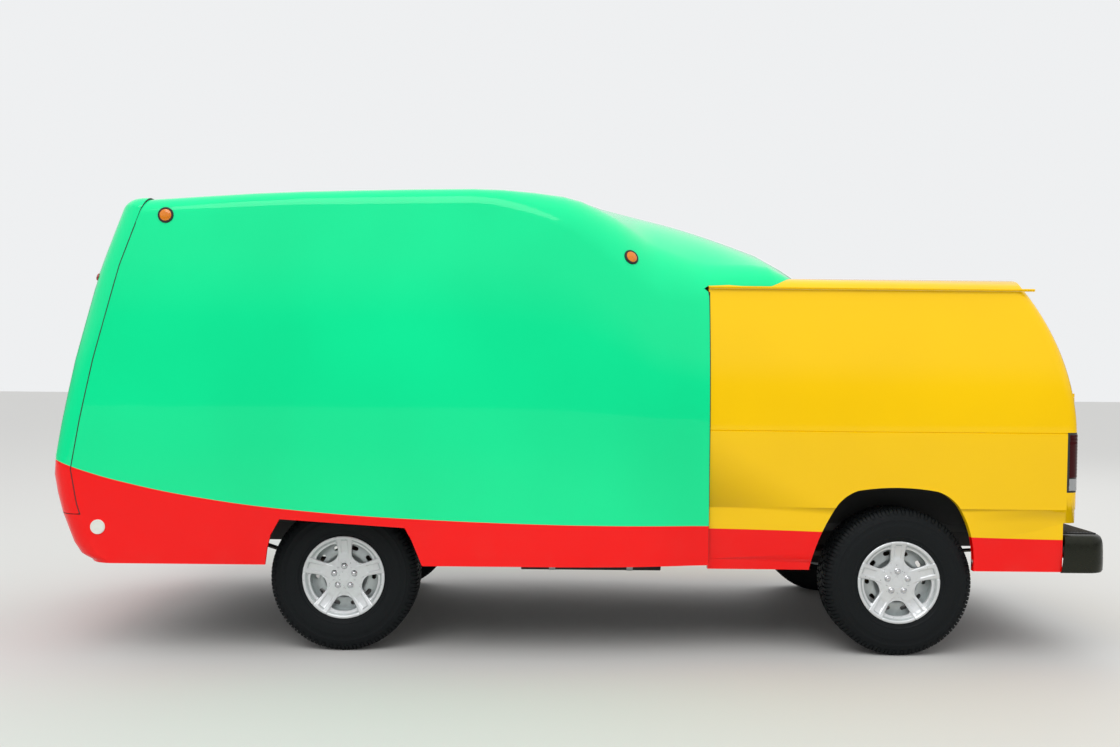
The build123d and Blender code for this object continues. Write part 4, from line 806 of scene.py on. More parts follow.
def joined(meshes, material, angle=35.0):
    """Several meshes as one, with one finish and edges under the angle shaded smooth."""
    form = bmesh.new()
    for mesh in meshes:
        form.from_mesh(mesh)
    whole = bpy.data.meshes.new("joined")
    form.to_mesh(whole)
    form.free()
    whole.materials.append(material)
    for polygon in whole.polygons:
        polygon.material_index = 0
    whole.shade_smooth()
    whole.set_sharp_from_angle(angle=math.radians(angle))
    return whole


def mesh_of(form, name):
    """A new mesh from a form, with its faces turned outwards."""
    bmesh.ops.recalc_face_normals(form, faces=form.faces)
    mesh = bpy.data.meshes.new(name)
    form.to_mesh(mesh)
    form.free()
    return mesh


def lathe(profile, steps=96, closed=False):
    """A mesh turned round the Y axis from (radius, y) points; radius 0 makes a pole."""
    form = bmesh.new()
    rings = []
    for radius, y in profile:
        if radius < 1e-6:
            rings.append([form.verts.new((0, y, 0))])
        else:
            rings.append([form.verts.new((radius * math.sin(2 * math.pi * k / steps), y,
                                          radius * math.cos(2 * math.pi * k / steps))) for k in range(steps)])
    pairs = list(zip(rings, rings[1:]))
    if closed:
        pairs.append((rings[-1], rings[0]))
    for first, second in pairs:
        for k in range(steps):
            n = (k + 1) % steps
            corners = [first[k % len(first)], first[n % len(first)]]
            corners += [second[n % len(second)], second[k % len(second)]]
            kept = [c for i, c in enumerate(corners) if c not in corners[:i]]
            if len(kept) >= 3:
                form.faces.new(kept)
    return mesh_of(form, "lathe")


print("ring tools ready")

# %% [markdown]
# ## Tyres
# A worn all-terrain tyre: rounded sidewalls with a raised band, a scuff rib beside the rim, and blocks
# that wrap over the shoulder. A texture could fake the tread, but its outline shows against the light
# floor, so the carcass is turned from a profile and the blocks are real, one ring for each row.

# %% Tyre carcass
sidewall = (
    # radius, distance from the middle
    (0.1925, 0.0960), (0.2030, 0.1000), (0.2100, 0.1010), (0.2140, 0.1035), (0.2200, 0.1045),
    (0.2260, 0.1065), (0.2290, 0.1105), (0.2330, 0.1125), (0.2370, 0.1115), (0.2400, 0.1120),
    (0.2500, 0.1148), (0.2620, 0.1165), (0.2750, 0.1172), (0.2880, 0.1170), (0.2900, 0.1172),
    (0.2915, 0.1165), (0.3050, 0.1152), (0.3180, 0.1130), (0.3195, 0.1136), (0.3215, 0.1126),
    (0.3300, 0.1105), (0.3380, 0.1080), (0.3440, 0.1050), (0.3520, 0.1000), (0.3590, 0.0930),
    (0.3635, 0.0840), (0.3655, 0.0700), (0.3665, 0.0350), (0.3668, 0.0),
)
other_side = [(radius, -y) for radius, y in reversed(sidewall[:-1])]
carcass = lathe(list(sidewall) + other_side, 168)


def block_mesh(rows):
    """A closed block from rows of four corners, each row one cut of the block."""
    form = bmesh.new()
    cuts = [[form.verts.new(corner) for corner in row] for row in rows]
    form.faces.new(cuts[0][::-1])
    form.faces.new(cuts[-1])
    for first, second in zip(cuts, cuts[1:]):
        for k in range(4):
            form.faces.new((first[k], first[(k + 1) % 4], second[(k + 1) % 4], second[k]))
    return mesh_of(form, "block")


def shoulder_block(side, width, low_reach):
    """A block that starts on the sidewall and wraps over the shoulder onto the tread."""
    cuts = (
        # outer radius, distance from the middle, half width, inner radius, inner distance
        (low_reach, 0.1075, width * 0.40, low_reach, 0.1020),
        (0.3500, 0.1045, width * 0.46, 0.3450, 0.0960),
        (0.3620, 0.0985, width * 0.50, 0.3540, 0.0900),
        (0.3708, 0.0890, width * 0.50, 0.3600, 0.0820),
        (0.3738, 0.0760, width * 0.50, 0.3620, 0.0740),
        (0.3742, 0.0560, width * 0.44, 0.3630, 0.0560),
    )
    rows = []
    for radius, y, half, inner, inner_y in cuts:
        rows.append([(-half, side * y, radius), (half, side * y, radius),
                     (half, side * inner_y, inner), (-half, side * inner_y, inner)])
    return block_mesh(rows)


BLOCK_TOP, BLOCK_FOOT = 0.3745, 0.3620


def rib_block(y_low, y_high, width, skew):
    """A block of a middle row, its ends cut at a slant."""
    rows = []
    for y, slide in ((y_low, -skew), (y_high, skew)):
        rows.append([(slide - width / 2, y, BLOCK_TOP), (slide + width / 2, y, BLOCK_TOP),
                     (slide + width / 2, y, BLOCK_FOOT), (slide - width / 2, y, BLOCK_FOOT)])
    return block_mesh(rows)


# %% Tread rows
BLOCKS = 56
BLOCK_SHARE = 2 * math.pi / BLOCKS
tread = []
for side in (1, -1):
    tread.append(ring_of(shoulder_block(side, 0.0165, 0.3400), BLOCKS, tyre_rubber))
    tread.append(ring_of(shoulder_block(side, 0.0135, 0.3470), BLOCKS, tyre_rubber, BLOCK_SHARE / 2))
for y_low, y_high, width, skew, turn in (
    # from, to, width, slant, turned by this share of a block
    (0.018, 0.048, 0.030, 0.006, 0.2),
    (-0.014, 0.014, 0.032, -0.005, 0.55),
    (-0.048, -0.018, 0.030, 0.006, 0.8),
):
    block = rib_block(y_low, y_high, width, skew)
    tread.append(ring_of(block, BLOCKS, tyre_rubber, turn * BLOCK_SHARE))
print("tread rows", len(tread))

# %% Raised marks on the sidewall
marks = []
for radius, length, height, copies, turn in (
    # radius, length round the wheel, height, copies, first angle
    (0.302, 0.016, 0.0060, 9, 0.1),
    (0.302, 0.005, 0.0090, 9, 0.32),
    (0.302, 0.009, 0.0075, 9, 0.47),
    (0.252, 0.010, 0.0040, 4, 0.2),
    (0.252, 0.004, 0.0055, 4, 0.3),
    (0.330, 0.0025, 0.011, 44, 0.0),
):
    y = float(np.interp(radius, [row[0] for row in sidewall], [row[1] for row in sidewall]))
    half, low, high = length / 2, radius - height / 2, radius + height / 2
    mark = block_mesh([
        [(-half, y - 0.004, low), (half, y - 0.004, low), (half, y - 0.004, high), (-half, y - 0.004, high)],
        [(-half, y + 0.0009, low), (half, y + 0.0009, low), (half, y + 0.0005, high),
         (-half, y + 0.0005, high)],
    ])
    marks.append(ring_of(mark, copies, tyre_rubber, turn))
tyre_mesh = joined([carcass] + tread + marks, tyre_rubber, 32.0)
print("tyre faces", len(tyre_mesh.polygons))

# %% [markdown]
# ## Wheel covers
# The silver covers carry the look of the wheels: five flared spokes with a sunk channel, windows with
# round corners, a stepped outer ring, five domed nuts and a plain centre. A cover can be carved with
# booleans, but those leave ragged shading round the windows. Here half of one spoke is drawn as a grid
# whose columns follow the window's edge, its height comes from a rule, and the rest is copies.

# %% The rule for the cover's surface
SPOKES = 5
HALF_SHARE = math.pi / SPOKES
WINDOW_IN, INNER_ROUNDING = 0.097, 0.024
WINDOW_OUT, OUTER_ROUNDING = 0.1755, 0.013
spoke_rise = (
    # radius, distance from the tyre's middle, on a spoke
    (0.0, 0.0860), (0.030, 0.0858), (0.045, 0.0842), (0.064, 0.0820), (0.095, 0.0790),
    (0.120, 0.0790), (0.150, 0.0855), (0.176, 0.0950), (0.188, 0.1015), (0.195, 0.1050),
    (0.199, 0.1082), (0.205, 0.1085), (0.209, 0.1062),
)
ring_rise = (
    # radius, distance from the tyre's middle, between the spokes
    (0.0, 0.0860), (0.030, 0.0858), (0.045, 0.0842), (0.064, 0.0820), (0.095, 0.0770),
    (0.150, 0.0800), (0.1755, 0.0860), (0.1800, 0.0868), (0.1835, 0.0880), (0.1850, 0.0945),
    (0.1870, 0.0960), (0.1930, 0.0975), (0.1950, 0.1060), (0.199, 0.1084), (0.205, 0.1085),
    (0.209, 0.1062),
)


def rise_at(table, radius):
    """The height that a table of radius and height gives at a radius."""
    return float(np.interp(radius, [row[0] for row in table], [row[1] for row in table]))


def clamped(value):
    """A value kept between 0 and 1."""
    return min(1.0, max(0.0, value))


def spoke_half(radius):
    """Half width of a spoke at that radius."""
    return 0.0335 + 0.0050 * max(0.0, (radius - 0.107) / 0.073) ** 1.3


def spoke_angle(radius):
    """Angle from the spoke's middle to its edge at that radius."""
    return min(HALF_SHARE, math.asin(min(0.99, spoke_half(radius) / max(radius, 1e-4))))


def rounding(t, power):
    """How far a corner closes: 1 at its end, 0 where it is over."""
    left = 1.0 - clamped(t)
    return 1.0 - (1.0 - left**power) ** (1.0 / power)


def window_angle(radius):
    """Angle from the spoke's middle to the window's edge; a full half share means no window there."""
    edge = spoke_angle(radius)
    inner = rounding((radius - WINDOW_IN) / INNER_ROUNDING, 2.3)
    outer = rounding((WINDOW_OUT - radius) / OUTER_ROUNDING, 3.2)
    closed = max(inner, outer)
    if radius <= WINDOW_IN or radius >= WINDOW_OUT:
        closed = 1.0
    return edge + (HALF_SHARE - edge) * closed


def cover_height(radius, angle):
    """Distance from the tyre's middle of the cover's face at a radius and an angle from a spoke."""
    across = radius * math.sin(angle)
    edge = spoke_half(radius)
    length_fade = clamped((radius - 0.112) / 0.014) * clamped((0.1935 - radius) / 0.003)
    channel = 0.0045 * clamped((0.0185 - across) / 0.0035) * length_fade
    rolled = 0.0035 * clamped((across - edge + 0.0055) / 0.0055) ** 2 * clamped((radius - 0.075) / 0.02)
    ridge = 0.0012 * math.exp(-((across - 0.0225) / 0.003) ** 2) * length_fade
    spoke_face = rise_at(spoke_rise, radius) - channel - rolled + ridge
    between = rise_at(ring_rise, radius)
    fade_width = 0.012 if radius < 0.105 else 0.0035
    blend = clamped((across - edge) / fade_width)
    height = spoke_face * (1 - blend) + between * blend
    groove = 0.0013 if 0.0262 < radius < 0.0284 else 0.0
    return height - groove


# %% Half a spoke as a grid
cover_radii = (
    0.0, 0.008, 0.016, 0.022, 0.0258, 0.0264, 0.0282, 0.0288, 0.036, 0.045, 0.054, 0.060, 0.066, 0.073,
    0.080, 0.087, 0.092, 0.0955, 0.0970, 0.0971, 0.0976, 0.0985, 0.1000, 0.1025, 0.1060, 0.1100, 0.1150,
    0.1210, 0.1230, 0.1260, 0.1330, 0.1420, 0.1510, 0.1600, 0.1640, 0.1670, 0.1700, 0.1720, 0.1735,
    0.1745, 0.1751, 0.17545, 0.1755, 0.1775, 0.1800, 0.1832, 0.1838, 0.1850, 0.1870, 0.1905, 0.1932,
    0.1938, 0.1950, 0.1970, 0.1990, 0.2020, 0.2050, 0.2072, 0.2085, 0.2090,
)
WEB_START = 0.060
across_cuts = (0.0, 0.18, 0.34, 0.42, 0.50, 0.56, 0.62, 0.68, 0.76, 0.84, 0.90, 0.95, 1.0)
beyond_cuts = (0.0, 0.10, 0.22, 0.36, 0.52, 0.68, 0.84, 1.0)


def half_spoke():
    """One fifth of the cover's face: half a spoke with its web, and its mirror image."""
    form = bmesh.new()

    def corner(radius, angle):
        """A corner on the cover's face."""
        x, z = radius * math.sin(angle), radius * math.cos(angle)
        return form.verts.new((x, cover_height(radius, angle), z))

    def strips(radii, low_angle, high_angle, cuts):
        """Rows of faces between two angles, each of which may change with the radius."""
        before = None
        for radius in radii:
            low, high = low_angle(radius), high_angle(radius)
            row = [corner(radius, low + (high - low) * cut) for cut in cuts]
            if before is not None:
                for k in range(len(cuts) - 1):
                    form.faces.new((before[k], before[k + 1], row[k + 1], row[k]))
            before = row

    inner_web = [r for r in cover_radii if WEB_START <= r <= WINDOW_IN + INNER_ROUNDING]
    outer_web = [r for r in cover_radii if r >= WINDOW_OUT - OUTER_ROUNDING]
    strips(cover_radii, lambda r: 0.0, spoke_angle, across_cuts)
    strips(inner_web, spoke_angle, window_angle, beyond_cuts)
    strips(outer_web, spoke_angle, window_angle, beyond_cuts)
    mirrored = [(f, [form.verts.new((-v.co.x, v.co.y, v.co.z)) for v in f.verts]) for f in list(form.faces)]
    for face, corners in mirrored:
        form.faces.new(corners[::-1])
    bmesh.ops.remove_doubles(form, verts=form.verts, dist=0.00002)
    bmesh.ops.dissolve_degenerate(form, edges=form.edges, dist=0.00001)
    mesh = bpy.data.meshes.new("spoke")
    form.to_mesh(mesh)
    form.free()
    return mesh


face_sheet = ring_of(half_spoke(), SPOKES, cover_silver, 0.0, merge=0.00005)
form = bmesh.new()
form.from_mesh(face_sheet)
bmesh.ops.dissolve_degenerate(form, edges=form.edges, dist=0.00001)
if sum(f.normal.y * f.calc_area() for f in form.faces) < 0:
    bmesh.ops.reverse_faces(form, faces=form.faces)
rim_edges = [e for e in form.edges if e.is_boundary]
turned = bmesh.ops.extrude_edge_only(form, edges=rim_edges)
for vert in [g for g in turned["geom"] if isinstance(g, bmesh.types.BMVert)]:
    outer = math.hypot(vert.co.x, vert.co.z) > 0.205
    vert.co.y -= 0.0052 if outer else 0.0120
form.to_mesh(face_sheet)
form.free()
print("cover sheet faces", len(face_sheet.polygons))

# %% Nuts, studs and the whole cover
NUT_RADIUS = 0.053
nut_profile = (
    (0.0, 0.0965), (0.004, 0.0962), (0.008, 0.0948), (0.0105, 0.0925), (0.0120, 0.0898),
    (0.0128, 0.0870), (0.0150, 0.0852), (0.0170, 0.0836), (0.0172, 0.0800),
)
nut = lathe(nut_profile, 24)
nut.transform(Matrix.Translation((0, 0, NUT_RADIUS)))
stud = lathe([(0.0, 0.0872), (0.0018, 0.0868), (0.0030, 0.0855), (0.0034, 0.0820)], 12)
stud.transform(Matrix.Translation((0, 0, NUT_RADIUS)))
cover_nuts = ring_of(nut, SPOKES, cover_silver)
cover_studs = ring_of(stud, SPOKES, cover_silver, HALF_SHARE)
cover_mesh = joined([face_sheet, cover_nuts, cover_studs], cover_silver, 38.0)
cover_mesh.materials.append(chrome_trim)
first_nut = len(face_sheet.polygons)
for polygon in cover_mesh.polygons[first_nut:first_nut + len(cover_nuts.polygons)]:
    polygon.material_index = 1
print("cover faces", len(cover_mesh.polygons))

# %% Wheels set in place
wheel_places = {
    # corner, X of the axle, side
    "front_left": (FRONT_AXLE, 1), "front_right": (FRONT_AXLE, -1),
    "rear_left": (REAR_AXLE, 1), "rear_right": (REAR_AXLE, -1),
}


def set_on_wheel(name, mesh, corner, replaced):
    """The mesh, drawn with its outside towards +Y, placed at a corner of the vehicle."""
    axle_x, side = wheel_places[corner]
    placed = mesh.copy()
    turn = Matrix.Identity(4) if side > 0 else Matrix.Rotation(math.pi, 4, "Z")
    placed.transform(Matrix.Translation((axle_x, side * WHEEL_Y, AXLE_Z)) @ turn)
    piece = bpy.data.objects.new(name + "_" + corner, placed)
    scene.collection.objects.link(piece)
    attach(piece, "wheel_" + corner)
    if replaced:
        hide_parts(replaced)
    return piece


for corner in wheel_places:
    set_on_wheel("road_tyre", tyre_mesh, corner, "tyre_" + corner)
    set_on_wheel("spoke_cover", cover_mesh, corner, "wheel_cover_" + corner)
print("wheels dressed", len(wheel_places))

# %% [markdown]
# ## Small pieces on curved skins
# Lamps, seals, hinges and handles sit on skins that bow in two directions. Pressing a flat piece on by
# eye leaves gaps or lets it sink in. Instead each skin is a rule that gives the place at two
# coordinates and a lift off the skin, and every small piece is drawn through that rule.

# %% Places on the skins
coach_lookup = BVHTree.FromPolygons([tuple(c) for c in coach_form[0]], coach_form[1])


def on_coach(side):
    """The rule for one side of the coach: (x, z, lift) to a point."""
    def place(x, z, lift):
        spot, _, _, _ = coach_lookup.ray_cast(Vector((x, side * 1.6, z)), Vector((0, -side, 0)))
        return Vector((x, spot.y + side * lift, z))
    return place


def on_cap(y, z, lift):
    """The rule for the coach's nose: (y, z, lift) to a point."""
    return Vector((cap_x(y, z) + lift, y, z))


TAIL_BOW = 1.309
TAIL_BEND_Z = 1.100


def on_tail(y, z, lift):
    """The rule for the van's tail: (y, z, lift) to a point."""
    bow = TAIL_BOW - math.sqrt(TAIL_BOW**2 - max(z - TAIL_BEND_Z, 0.0) ** 2)
    return Vector((VAN_TAIL + bow - lift, y, z))


VAN_FOOT_Z, VAN_FOOT_HALF = 0.442, 0.963
VAN_BELT_Z = 1.143
VAN_LINE_Z, VAN_LINE_STEP = 0.757, 0.004
VAN_TUMBLE = 0.067
VAN_BOW = ((1.862 - VAN_BELT_Z) ** 2 + VAN_TUMBLE**2) / (2 * VAN_TUMBLE)


def on_van(side):
    """The rule for one side of the van: (x, z, lift) to a point."""
    def place(x, z, lift):
        if z < VAN_BELT_Z:
            part = (z - VAN_FOOT_Z) / (VAN_BELT_Z - VAN_FOOT_Z)
            half = VAN_FOOT_HALF + (VAN_HALF - VAN_FOOT_HALF) * part
        else:
            half = VAN_HALF - VAN_BOW + math.sqrt(VAN_BOW**2 - (z - VAN_BELT_Z) ** 2)
        if z < VAN_LINE_Z:
            half -= VAN_LINE_STEP
        return Vector((x, side * (half + lift), z))
    return place


def plain_mesh(corners, faces):
    """A mesh from corners and faces, with doubled corners merged and faces turned outwards."""
    mesh = bpy.data.meshes.new("small")
    mesh.from_pydata([tuple(c) for c in corners], [], faces)
    form = bmesh.new()
    form.from_mesh(mesh)
    bmesh.ops.remove_doubles(form, verts=form.verts, dist=0.000005)
    bmesh.ops.recalc_face_normals(form, faces=form.faces)
    form.to_mesh(mesh)
    form.free()
    return mesh


def swept(corners, width, closed):
    """A mesh from rows of corners, width in each row; an open sweep gets end faces."""
    count = len(corners) // width
    faces = []
    for number in range(count if closed else count - 1):
        first, second = number * width, (number + 1) % count * width
        for k in range(width):
            j = (k + 1) % width
            faces.append((first + k, first + j, second + j, second + k))
    if not closed:
        faces += [tuple(range(width)), tuple(range((count - 1) * width, count * width))]
    return plain_mesh(corners, faces)


def rounded_outline(a_low, a_high, b_low, b_high, radius, steps=8, per_side=6):
    """A closed outline of a rectangle with round corners, with extra points along its sides."""
    corners = ((a_high - radius, b_high - radius, 0.0), (a_low + radius, b_high - radius, 90.0),
               (a_low + radius, b_low + radius, 180.0), (a_high - radius, b_low + radius, 270.0))

    def on_arc(corner, degrees):
        """A point on the rounding of a corner."""
        turned = math.radians(corner[2] + degrees)
        return corner[0] + radius * math.cos(turned), corner[1] + radius * math.sin(turned)

    points = []
    for number, corner in enumerate(corners):
        points += [on_arc(corner, 90.0 * k / steps) for k in range(steps + 1)]
        last_a, last_b = points[-1]
        next_a, next_b = on_arc(corners[(number + 1) % 4], 0.0)
        for part in [k / per_side for k in range(1, per_side)]:
            points.append((last_a + (next_a - last_a) * part, last_b + (next_b - last_b) * part))
    return points


def strip_on(place, outline, section, closed=True):
    """A strip along an outline on a skin; its section is (across, lift) points."""
    count = len(outline)
    corners = []
    for number, (a, b) in enumerate(outline):
        before = outline[number - 1] if closed or number else outline[number]
        after = outline[(number + 1) % count] if closed or number < count - 1 else outline[number]
        run = Vector((after[0] - before[0], after[1] - before[1])).normalized()
        for across, lift in section:
            corners.append(place(a + run.y * across, b - run.x * across, lift))
    return swept(corners, len(section), closed)


def tube(path, radius, sides=10):
    """A round bar along a path of points."""
    path = [Vector(p) for p in path]
    corners = []
    up = None
    for number, spot in enumerate(path):
        before = path[max(number - 1, 0)]
        after = path[min(number + 1, len(path) - 1)]
        run = (after - before).normalized()
        if up is None:
            up = Vector((0, 0, 1)) if abs(run.z) < 0.9 else Vector((1, 0, 0))
        across = run.cross(up).normalized()
        up = across.cross(run).normalized()
        for k in range(sides):
            turn = 2 * math.pi * k / sides
            corners.append(spot + across * radius * math.cos(turn) + up * radius * math.sin(turn))
    return swept(corners, sides, False)


def soft_block(low, high, edge, segments=2):
    """A block between two corners with its edges rounded off."""
    form = bmesh.new()
    bmesh.ops.create_cube(form, size=1.0)
    size = Vector(high) - Vector(low)
    middle = (Vector(high) + Vector(low)) / 2
    for vert in form.verts:
        vert.co = Vector((vert.co.x * size.x, vert.co.y * size.y, vert.co.z * size.z)) + middle
    bmesh.ops.bevel(form, geom=form.edges, offset=edge, segments=segments, affect="EDGES", profile=0.5)
    return mesh_of(form, "block")


def plate_section(half, rise):
    """The section of a flat plate with its long edges broken, as (across, lift) points."""
    top = half - 0.003
    return ((-half, -0.001), (-half, rise - 0.0015), (-top, rise), (top, rise), (half, rise - 0.0015),
            (half, -0.001))


def hinge_barrel(low, high, radius, flat, cut, steps=20):
    """One barrel of a hinge along its pin; flat is the radius of its ends, cut the length of its edge."""
    profile = [(0.0, low), (flat, low), (radius, low + cut), (radius, high - cut), (flat, high), (0.0, high)]
    return lathe(profile, steps)


def aimed(mesh, spot, outward):
    """A mesh drawn round +Y, moved to a spot with its +Y along the outward direction."""
    placed = mesh.copy()
    turn = Vector(outward).to_track_quat("Y", "Z").to_matrix().to_4x4()
    placed.transform(Matrix.Translation(spot) @ turn)
    return placed


def put(name, meshes, material, body, replaced=None):
    """One named piece from a mesh, or a list of them, already in place."""
    mesh = joined(meshes if isinstance(meshes, list) else [meshes], material)
    piece = bpy.data.objects.new(name, mesh)
    scene.collection.objects.link(piece)
    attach(piece, body)
    if replaced:
        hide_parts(replaced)
    return piece


print("rules for the skins ready")

# %% [markdown]
# ## Side lamps
# Four amber clearance lamps sit high on the coach, each in a rubber grommet. A white reflector sits low
# on each front corner, and a small red lamp stands on the ledge over the windscreen's corner. Each is
# turned from a profile and aimed along the skin's own direction, so it sits flat on the curve.

# %% Lamps along the coach sides
def skin_direction(place, a, b):
    """Outward direction of a skin at a place."""
    spot = place(a, b, 0.0)
    first = place(a + 0.01, b, 0.0) - place(a - 0.01, b, 0.0)
    second = place(a, b + 0.01, 0.0) - place(a, b - 0.01, 0.0)
    normal = first.cross(second).normalized()
    lifted = place(a, b, 0.01) - spot
    return spot, normal if normal.dot(lifted) > 0 else -normal


lens_dome = lathe([(0.0, 0.0135), (0.008, 0.0132), (0.0085, 0.0122), (0.0150, 0.0118), (0.0155, 0.0106),
                   (0.0220, 0.0096), (0.0225, 0.0084), (0.0285, 0.0064), (0.0300, 0.0040),
                   (0.0300, -0.0010)], 48)
grommet = lathe([(0.0290, 0.0000), (0.0295, 0.0050), (0.0310, 0.0062), (0.0355, 0.0064), (0.0385, 0.0045),
                 (0.0395, 0.0010), (0.0395, -0.0040), (0.0290, -0.0040)], 48, closed=True)
reflector = lathe([(0.0, 0.0052), (0.0290, 0.0052), (0.0300, 0.0042), (0.0312, 0.0058), (0.0345, 0.0056),
                   (0.0360, 0.0040), (0.0360, -0.0020)], 56)
small_dome = lathe([(0.0, 0.0090), (0.008, 0.0084), (0.014, 0.0066), (0.0180, 0.0034), (0.0190, -0.0010)], 40)
amber_lamps, grommets, white_discs, red_lamps = [], [], [], []
for side in (1, -1):
    rule = on_coach(side)
    for x, z in ((FRONT_AXLE + 0.874, 2.190), (FRONT_AXLE - 1.444, 2.010)):
        spot, outward = skin_direction(rule, x, z)
        amber_lamps.append(aimed(lens_dome, spot, outward))
        grommets.append(aimed(grommet, spot, outward))
    spot, outward = skin_direction(rule, FRONT_AXLE + 1.182, 0.644)
    white_discs.append(aimed(reflector, spot, outward))
    ledge_spot, ledge_way = skin_direction(on_cap, side * 0.993, 1.885)
    red_lamps.append(aimed(small_dome, ledge_spot, ledge_way))
put("clearance_lenses", amber_lamps, amber_lens, "vehicle", "side_lamps")
put("clearance_grommets", grommets, seal_rubber, "vehicle")
put("corner_reflectors", white_discs, white_plastic, "vehicle")
put("ledge_lamps", red_lamps, red_lens, "vehicle")
print("side lamps", len(amber_lamps), len(white_discs), len(red_lamps))

# %% [markdown]
# ## The nose: screen rubber, wipers, lamps and grille
# The windscreen is held in the moulding by a rubber with a bright filler strip, as on coaches. It could
# be a ring of flat strips, but the nose bows across and leans back, so the rubber follows the rule of
# the nose. The lamps have a bowl, a bulb and a ribbed lens, since a clear lens over nothing looks fake.

# %% Rubber round the windscreen
screen_outline = rounded_outline(-0.900, 0.900, 1.220, 1.775, 0.090, 10, 12)
rubber_section = ((-0.014, -0.004), (-0.014, 0.003), (-0.010, 0.007), (0.006, 0.0075), (0.013, 0.004),
                  (0.015, -0.004))
filler_section = ((-0.004, 0.006), (-0.004, 0.0088), (0.003, 0.0088), (0.003, 0.006))
screen_rubber = strip_on(on_cap, screen_outline, rubber_section)
screen_filler = strip_on(on_cap, screen_outline, filler_section)
put("screen_rubber", screen_rubber, seal_rubber, "vehicle")
put("screen_filler", screen_filler, chrome_trim, "vehicle")

# %% Wipers, parked along the foot of the screen
PIVOT_Z = 1.178
BLADE_Z = 1.250
pivot_cap = lathe([(0.0, 0.030), (0.008, 0.029), (0.012, 0.024), (0.013, 0.012), (0.020, 0.008),
                   (0.024, -0.002)], 32)
wiper_parts, blade_parts = [], []
for pivot_y, reach_y in ((0.62, 0.02), (-0.06, -0.66)):
    pivot = on_cap(pivot_y, PIVOT_Z, 0.0)
    wiper_parts.append(aimed(pivot_cap, pivot, (0.96, 0.0, 0.28)))
    hold_y = (pivot_y + reach_y) / 2
    arm = [pivot + Vector((0.024, 0, 0.0)), pivot + Vector((0.028, -0.04, 0.014)),
           on_cap(pivot_y + (hold_y - pivot_y) * 0.6, 1.225, 0.026), on_cap(hold_y, 1.252, 0.024)]
    wiper_parts.append(tube(arm, 0.0045, 8))
    spine, blade = [], []
    for part in [k / 12 for k in range(13)]:
        y = pivot_y - 0.05 + (reach_y - pivot_y + 0.05) * part
        bow = math.sin(math.pi * part)
        spine.append(on_cap(y, BLADE_Z + 0.004 * bow, 0.015 + 0.006 * bow))
        blade.append(on_cap(y, BLADE_Z, 0.0055))
    wiper_parts.append(tube(spine, 0.0040, 8))
    blade_parts.append(tube(blade, 0.0045, 6))
put("wiper_arms", wiper_parts, trim_plastic, "vehicle")
put("wiper_blades", blade_parts, seal_rubber, "vehicle")

# %% Lamp bowls, bulbs and lenses
def patch_on(place, outline_rows, lift, ribs=0, rib_height=0.0):
    """A sheet on a skin from a grid of (a, b) rows, lifted, with upright ribs if asked."""
    corners = []
    for row in outline_rows:
        for number, (a, b) in enumerate(row):
            turned = 2 * math.pi * ribs * number / (len(row) - 1)
            corners.append(place(a, b, lift + rib_height * (0.5 - 0.5 * math.cos(turned))))
    return corners, grid_faces(len(outline_rows), len(outline_rows[0]))


def rounded_rows(a_low, a_high, b_low, b_high, radius, across, up):
    """Rows of (a, b) points that fill a rectangle with round corners."""
    rows = []
    for i in range(up + 1):
        b = b_low + (b_high - b_low) * (0.5 - 0.5 * math.cos(math.pi * i / up))
        near = min(b - b_low, b_high - b)
        cut = radius - math.sqrt(max(radius**2 - max(radius - near, 0.0) ** 2, 0.0))
        rows.append([(a_low + cut + (a_high - a_low - 2 * cut) * j / across, b) for j in range(across + 1)])
    return rows


def lens_plate(place, a_low, a_high, b_low, b_high, radius, lift, depth, ribs, rib_height):
    """A closed lens: ribbed outside, plain inside."""
    rows = rounded_rows(a_low, a_high, b_low, b_high, radius, max(ribs * 6, 24), 16)
    outer, faces = patch_on(place, rows, lift, ribs, rib_height)
    inner, _ = patch_on(place, rows, lift - depth)
    count = len(outer)
    width = len(rows[0])
    whole = faces + [tuple(c + count for c in reversed(face)) for face in faces]
    edge = list(range(width))
    edge += [i * width + width - 1 for i in range(1, len(rows))]
    edge += [(len(rows) - 1) * width + j for j in range(width - 2, -1, -1)]
    edge += [i * width for i in range(len(rows) - 2, 0, -1)]
    for k, corner in enumerate(edge):
        after = edge[(k + 1) % len(edge)]
        whole.append((corner, after, after + count, corner + count))
    return plain_mesh(outer + inner, whole)


BOWL_Z = 0.880
bowl_curve = [(0.012 + 0.050 * k / 10, 0.001 + 0.030 * (k / 10) ** 2) for k in range(11)]
bowl = lathe([(0.010, 0.0)] + bowl_curve + [(0.064, 0.031), (0.064, 0.028)], 40)
bulb = lathe([(0.0, 0.024), (0.004, 0.0235), (0.0065, 0.020), (0.0065, 0.008), (0.009, 0.006),
              (0.009, 0.0)], 20)
bezel_section = ((-0.006, -0.004), (-0.006, 0.0035), (-0.002, 0.0055), (0.003, 0.0045), (0.0045, -0.002))
wall_section = ((0.0, -0.046), (0.0, -0.005), (0.002, -0.005), (0.002, -0.046))
head_lenses, head_bowls, head_bezels, head_bulbs, turn_lenses, lamp_boxes = [], [], [], [], [], []
front_lamps = (
    # foot, head, radius of the lens and the bezel, ribs, their height, place and rows of the back
    (0.804, 0.956, 0.018, 0.020, 16, -0.0018, -0.046, 12, head_lenses),
    (0.716, 0.768, 0.014, 0.017, 20, -0.0016, -0.030, 8, turn_lenses),
)
